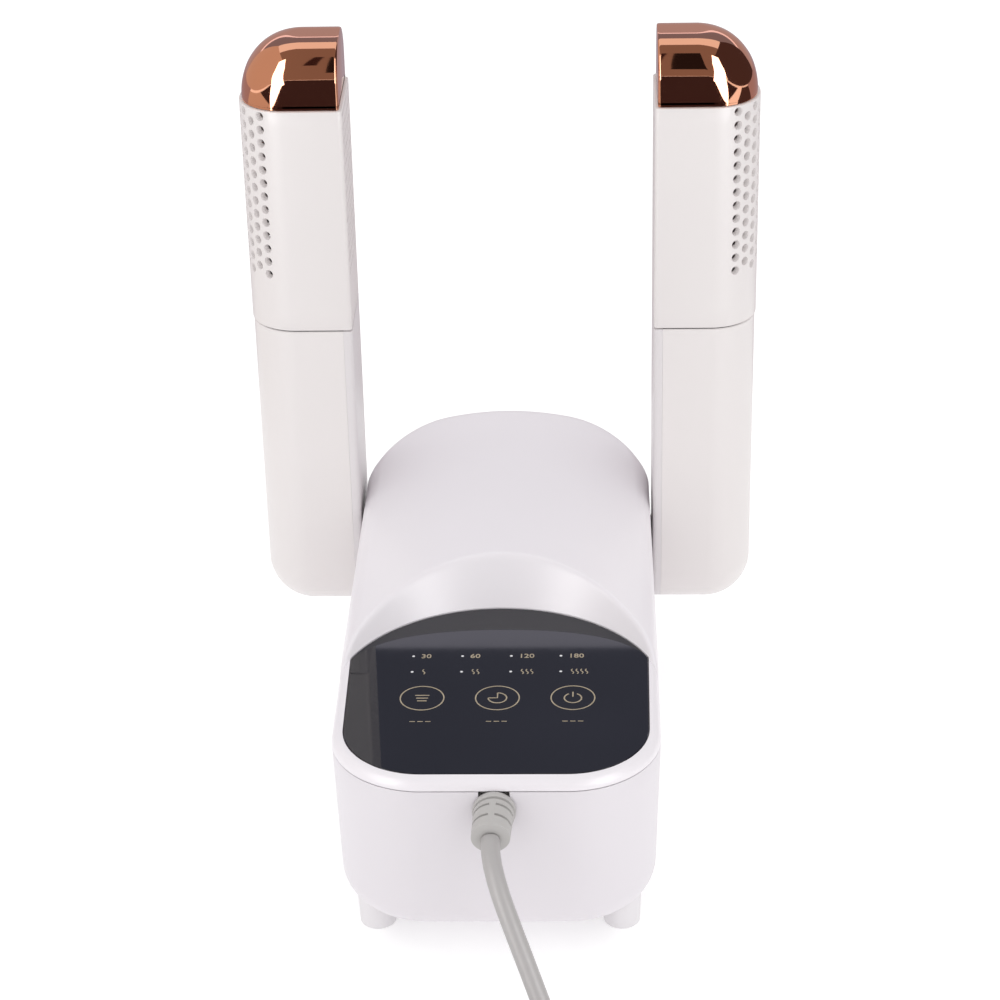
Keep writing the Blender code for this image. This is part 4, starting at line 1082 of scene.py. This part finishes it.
def flip_outward(mesh, middle):
    """Turns an open sheet's faces so that they look away from a point."""
    bm = bmesh.new()
    bm.from_mesh(mesh)
    score = sum(f.normal.dot(f.calc_center_median() - middle) * f.calc_area() for f in bm.faces)
    if score < 0:
        bmesh.ops.reverse_faces(bm, faces=bm.faces)
    bm.to_mesh(mesh)
    bm.free()


def drill_mesh(name, spots, radii, depth, sides):
    """Drills, each at a place and pointing outward along a plan direction."""
    flat = Matrix.Rotation(math.pi / 2, 4, "Y")
    places = [Matrix.Translation(spot) @ Matrix.Rotation(turn, 4, "Z") @ flat for spot, turn in spots]
    return cones_mesh(name, places, radii, depth, sides)


def outer_hole_spots(side):
    """Staggered columns around the round outer side, each drilled square to the wall."""
    spots = []
    radius = ARM_CORNER - ARM_WALL / 2
    middle = OUTER_COLUMNS // 2
    for column in range(OUTER_COLUMNS):
        angle = math.radians(FIRST_COLUMN_ANGLE + COLUMN_ANGLE * column)
        bend = (column > middle) - (column < middle)
        y = PIVOT_Y + bend * (ARM_HALF_DEPTH - ARM_CORNER) - radius * math.cos(angle)
        x = SLEEVE_HIGH.x - ARM_CORNER + radius * math.sin(angle)
        turn = math.atan2(-math.cos(angle), side * math.sin(angle))
        stagger = column % 2
        for row in range(HOLE_ROWS - stagger):
            z = HOLE_TOP_Z - (row + stagger / 2) * HOLE_PITCH
            spots.append((Vector((side * x, y, z)), turn))
    return spots


def inner_hole_spots(side):
    """Square rows and columns on the flat inner side."""
    spots = []
    for column in range(INNER_COLUMNS):
        y = PIVOT_Y + (column - (INNER_COLUMNS - 1) / 2) * INNER_COLUMN_PITCH
        for row in range(HOLE_ROWS):
            z = HOLE_TOP_Z - row * HOLE_PITCH
            spots.append((Vector((side * (SLEEVE_LOW.x + ARM_WALL / 2), y, z)), 0.0))
    return spots


def sleeve(hand, side):
    """The perforated upper length of an arm."""
    low, high = SLEEVE_LOW.z, SLEEVE_HIGH.z
    rows = [(low, 0.0003), (low + 0.0001, 0.0001), (low + 0.0003, 0.0)]
    rows += [(low + (high - low) * i / 14, 0.0) for i in range(1, 14)]
    rows += [(high - 0.0003, 0.0), (high - 0.0001, 0.0001), (high, 0.0003)]
    rings = []
    for z, trim in rows:
        half = ARM_HALF_DEPTH - trim
        rings.append(d_ring(side, SLEEVE_LOW.x + trim, SLEEVE_HIGH.x - trim, half, ARM_CORNER, z, SIDE_EDGE))
    inner_x, outer_x = SLEEVE_LOW.x + ARM_WALL, SLEEVE_HIGH.x - ARM_WALL
    half = ARM_HALF_DEPTH - ARM_WALL
    for z in (high, low):
        rings.append(d_ring(side, inner_x, outer_x, half, ARM_CORNER - ARM_WALL, z, SIDE_EDGE / 2))
    tube = loft_mesh("sleeve", rings, loop=True)
    outer_drill = drill_mesh(
        "outer_holes", outer_hole_spots(side), (HOLE_INSIDE, HOLE_OUTSIDE), HOLE_DRILL_DEPTH, 16
    )
    inner_drill = drill_mesh(
        "inner_holes", inner_hole_spots(side), (INNER_HOLE, INNER_HOLE), INNER_DRILL_DEPTH, 12
    )
    name = f"{hand}_perforated_sleeve"
    mesh = carved(name, tube, [outer_drill, inner_drill])
    return piece(name, mesh, "arm_white", f"{hand}_top", (f"{hand}_sleeve",))


def inner_tube(hand, side):
    """The tube that the sleeve carries down into the lower arm."""
    rings = []
    low, high = TUBE_LOW, TUBE_HIGH
    half = (high.y - low.y) / 2
    for z, trim in ((low.z, 0.0004), (low.z + 0.0004, 0.0), (high.z, 0.0)):
        rings.append(d_ring(side, low.x, high.x - trim, half - trim, TUBE_CORNER, z, TUBE_EDGE))
    inner_x, outer_x = low.x + TUBE_WALL, high.x - TUBE_WALL
    for z in (high.z, low.z):
        rings.append(d_ring(side, inner_x, outer_x, half - TUBE_WALL, TUBE_CORNER - TUBE_WALL, z, TUBE_EDGE))
    mesh = loft_mesh(f"{hand}_slide_tube", rings, loop=True)
    soften(mesh)
    return piece(f"{hand}_slide_tube", mesh, "tube_grey", f"{hand}_top", (f"{hand}_inner_tube",))


def cap(hand, side):
    """A mirror cap, domed front and back and swept down on its outer side."""
    low, high = CAP_LOW.z, CAP_HIGH.z
    half_depth = (CAP_HIGH.y - CAP_LOW.y) / 2
    wide, tall = CAP_SWEEP
    levels = [low, low + CAP_SKIRT]
    levels += [high - tall + tall * math.sin(math.radians(90 * i / 40)) for i in range(41)]
    rings = []
    for z in levels:
        up = max(0.0, z - (high - CAP_EDGE))
        half = half_depth - CAP_EDGE + math.sqrt(max(0.0, CAP_EDGE**2 - up * up))
        rise = max(0.0, z - (high - tall)) / tall
        outer = CAP_HIGH.x - wide * (1 - math.sqrt(max(0.0, 1 - rise * rise)))
        rings.append(d_ring(side, CAP_LOW.x, outer, half, CAP_CORNER, z, CAP_INNER_EDGE, steps=22))
    mesh = loft_mesh(f"{hand}_mirror_cap", rings)
    soften(mesh, 40)
    return piece(f"{hand}_mirror_cap", mesh, "cap_copper", f"{hand}_top", (f"{hand}_cap",))


# ---- pieces kept from the CAD ----------------------------------------------------------------
NODE_EDGE = 0.0003


def dress_nodes():
    """Every node of the frame gets its slot's finish; the seen ones get small bevels on their hard edges."""
    for row in frame["record"]["subparts"]:
        node = frame["nodes"][row["node"]]
        node.data.materials.clear()
        node.data.materials.append(FINISH[row["material_slot"]])
        if row["node"] in ("inlet_grille", "plug_pin_1", "plug_pin_2"):
            edge = node.modifiers.new("edge", "BEVEL")
            edge.width = NODE_EDGE
            edge.segments = 2
            edge.limit_method = "ANGLE"
            edge.angle_limit = math.radians(50)


# ---- studio ----------------------------------------------------------------------------------
WORLD_STRENGTH = 0.98
FLOOR_GLOW = 0.36
FILL_POWER = 1.6
WINDOW_POWER = 6.0
WINDOW_LEAN = math.radians(20)


def floor():
    bpy.ops.mesh.primitive_plane_add(size=14, location=(0, 0, -0.0002))
    obj = bpy.context.object
    obj.name = "floor"
    made, tree, shader = shader_of("floor_white")
    shader.inputs["Roughness"].default_value = 0.9
    shader.inputs["Specular IOR Level"].default_value = 0.1
    shader.inputs["Base Color"].default_value = (0.80, 0.80, 0.80, 1)
    shader.inputs["Emission Color"].default_value = (1, 1, 1, 1)
    shader.inputs["Emission Strength"].default_value = FLOOR_GLOW
    obj.data.materials.append(made)


def mirror_card(name, place, turn, size, colour):
    """A card that only shiny surfaces show: it stands for a part of the room around the dryer."""
    bpy.ops.mesh.primitive_plane_add(size=1, location=place, rotation=turn)
    obj = bpy.context.object
    obj.name = name
    obj.scale = (*size, 1)
    made, tree, shader = shader_of(name)
    shader.inputs["Base Color"].default_value = (0, 0, 0, 1)
    shader.inputs["Specular IOR Level"].default_value = 0.0
    shader.inputs["Emission Color"].default_value = (*colour, 1)
    shader.inputs["Emission Strength"].default_value = 1.0
    obj.data.materials.append(made)
    obj.visible_camera = False
    obj.visible_diffuse = False
    obj.visible_shadow = False
    obj.visible_transmission = False


def tall_light(name, place, lean, size, power, mirrored):
    """An upright soft light facing +Y. A mirrored one only shows in shiny surfaces, the others never do."""
    data = bpy.data.lights.new(name, "AREA")
    data.shape = "RECTANGLE"
    data.size, data.size_y = size
    data.energy = power
    obj = placed(name, data)
    obj.location = place
    obj.rotation_euler = (math.pi / 2, lean, 0)
    obj.visible_camera = False
    obj.visible_glossy = mirrored
    obj.visible_diffuse = not mirrored


def world():
    made = bpy.data.worlds.new("studio")
    made.use_nodes = True
    ground = made.node_tree.nodes["Background"]
    ground.inputs["Color"].default_value = (1, 1, 1, 1)
    ground.inputs["Strength"].default_value = WORLD_STRENGTH
    bpy.context.scene.world = made


UPRIGHT = (math.pi / 2, 0, 0)
SIDEWAYS = (math.pi / 2, 0, math.pi / 2)
ROOM = (0.26, 0.20, 0.17)
CARDS = (
    ("dark_table", (0, -1.34, 0.002), (0, 0, 0), (2.6, 1.78), (0.045, 0.028, 0.030)),
    ("left_table", (-0.80, 0.0, 0.001), (0, 0, 0), (1.0, 1.8), (0.62, 0.52, 0.45)),
    ("right_table", (0.95, 0.35, 0.001), (0, 0, 0), (0.9, 1.1), (0.07, 0.045, 0.045)),
    ("rear_table", (0, 0.95, 0.002), (0, 0, 0), (3.2, 1.3), (0.40, 0.33, 0.37)),
    ("front_room", (0, -2.60, 1.30), UPRIGHT, (5.2, 2.6), ROOM),
    ("ceiling", (0, -1.15, 2.60), (0, 0, 0), (5.2, 2.9), ROOM),
    ("dark_window", (0.105, -1.00, 1.75), UPRIGHT, (0.27, 2.4), (0.02, 0.014, 0.014)),
    ("dark_post", (-0.145, -1.00, 1.85), UPRIGHT, (0.09, 1.5), (0.04, 0.02, 0.02)),
    ("left_room", (-1.60, -0.50, 1.30), SIDEWAYS, (4.2, 2.6), (0.62, 0.52, 0.45)),
    ("right_room", (1.60, 0.10, 1.30), SIDEWAYS, (3.0, 2.6), (0.07, 0.045, 0.045)),
    ("rear_room", (0, 1.60, 0.45), UPRIGHT, (5.2, 0.9), (0.47, 0.42, 0.45)),
    ("rear_pale", (0, 1.60, 0.9915), UPRIGHT, (5.2, 0.183), (1.15, 1.12, 1.30)),
    ("rear_dark", (0, 1.60, 1.8415), UPRIGHT, (5.2, 1.517), (0.24, 0.25, 0.32)),
)


def studio():
    floor()
    world()
    bpy.context.scene.view_settings.view_transform = "Standard"
    for card in CARDS:
        mirror_card(*card)
    for hand, side in (("left", -1), ("right", 1)):
        tall_light(f"fill_{hand}", (0.75 * side, -1.15, 0.8), 0.0, (0.6, 1.6), FILL_POWER, False)
        place = (0.53 * side, -0.42, 0.66)
        tall_light(f"window_{hand}", place, WINDOW_LEAN * side, (0.30, 1.3), WINDOW_POWER, True)


# ---- the whole scene -------------------------------------------------------------------------
camera()
FINISH = make_finishes()
dress_nodes()

boot = strain_relief()
body = plug_body()
tie = coil_tie()
lead = cord_piece()

lower_tub()
top_cover()
panel()
touch_rings()
touch_icons()
heat_icons()
lamps()
timer_numbers()
feet()
for hand_name, hand_side in (("left", -1), ("right", 1)):
    lower_arm(hand_name, hand_side)
    sleeve(hand_name, hand_side)
    inner_tube(hand_name, hand_side)
    cap(hand_name, hand_side)

studio()
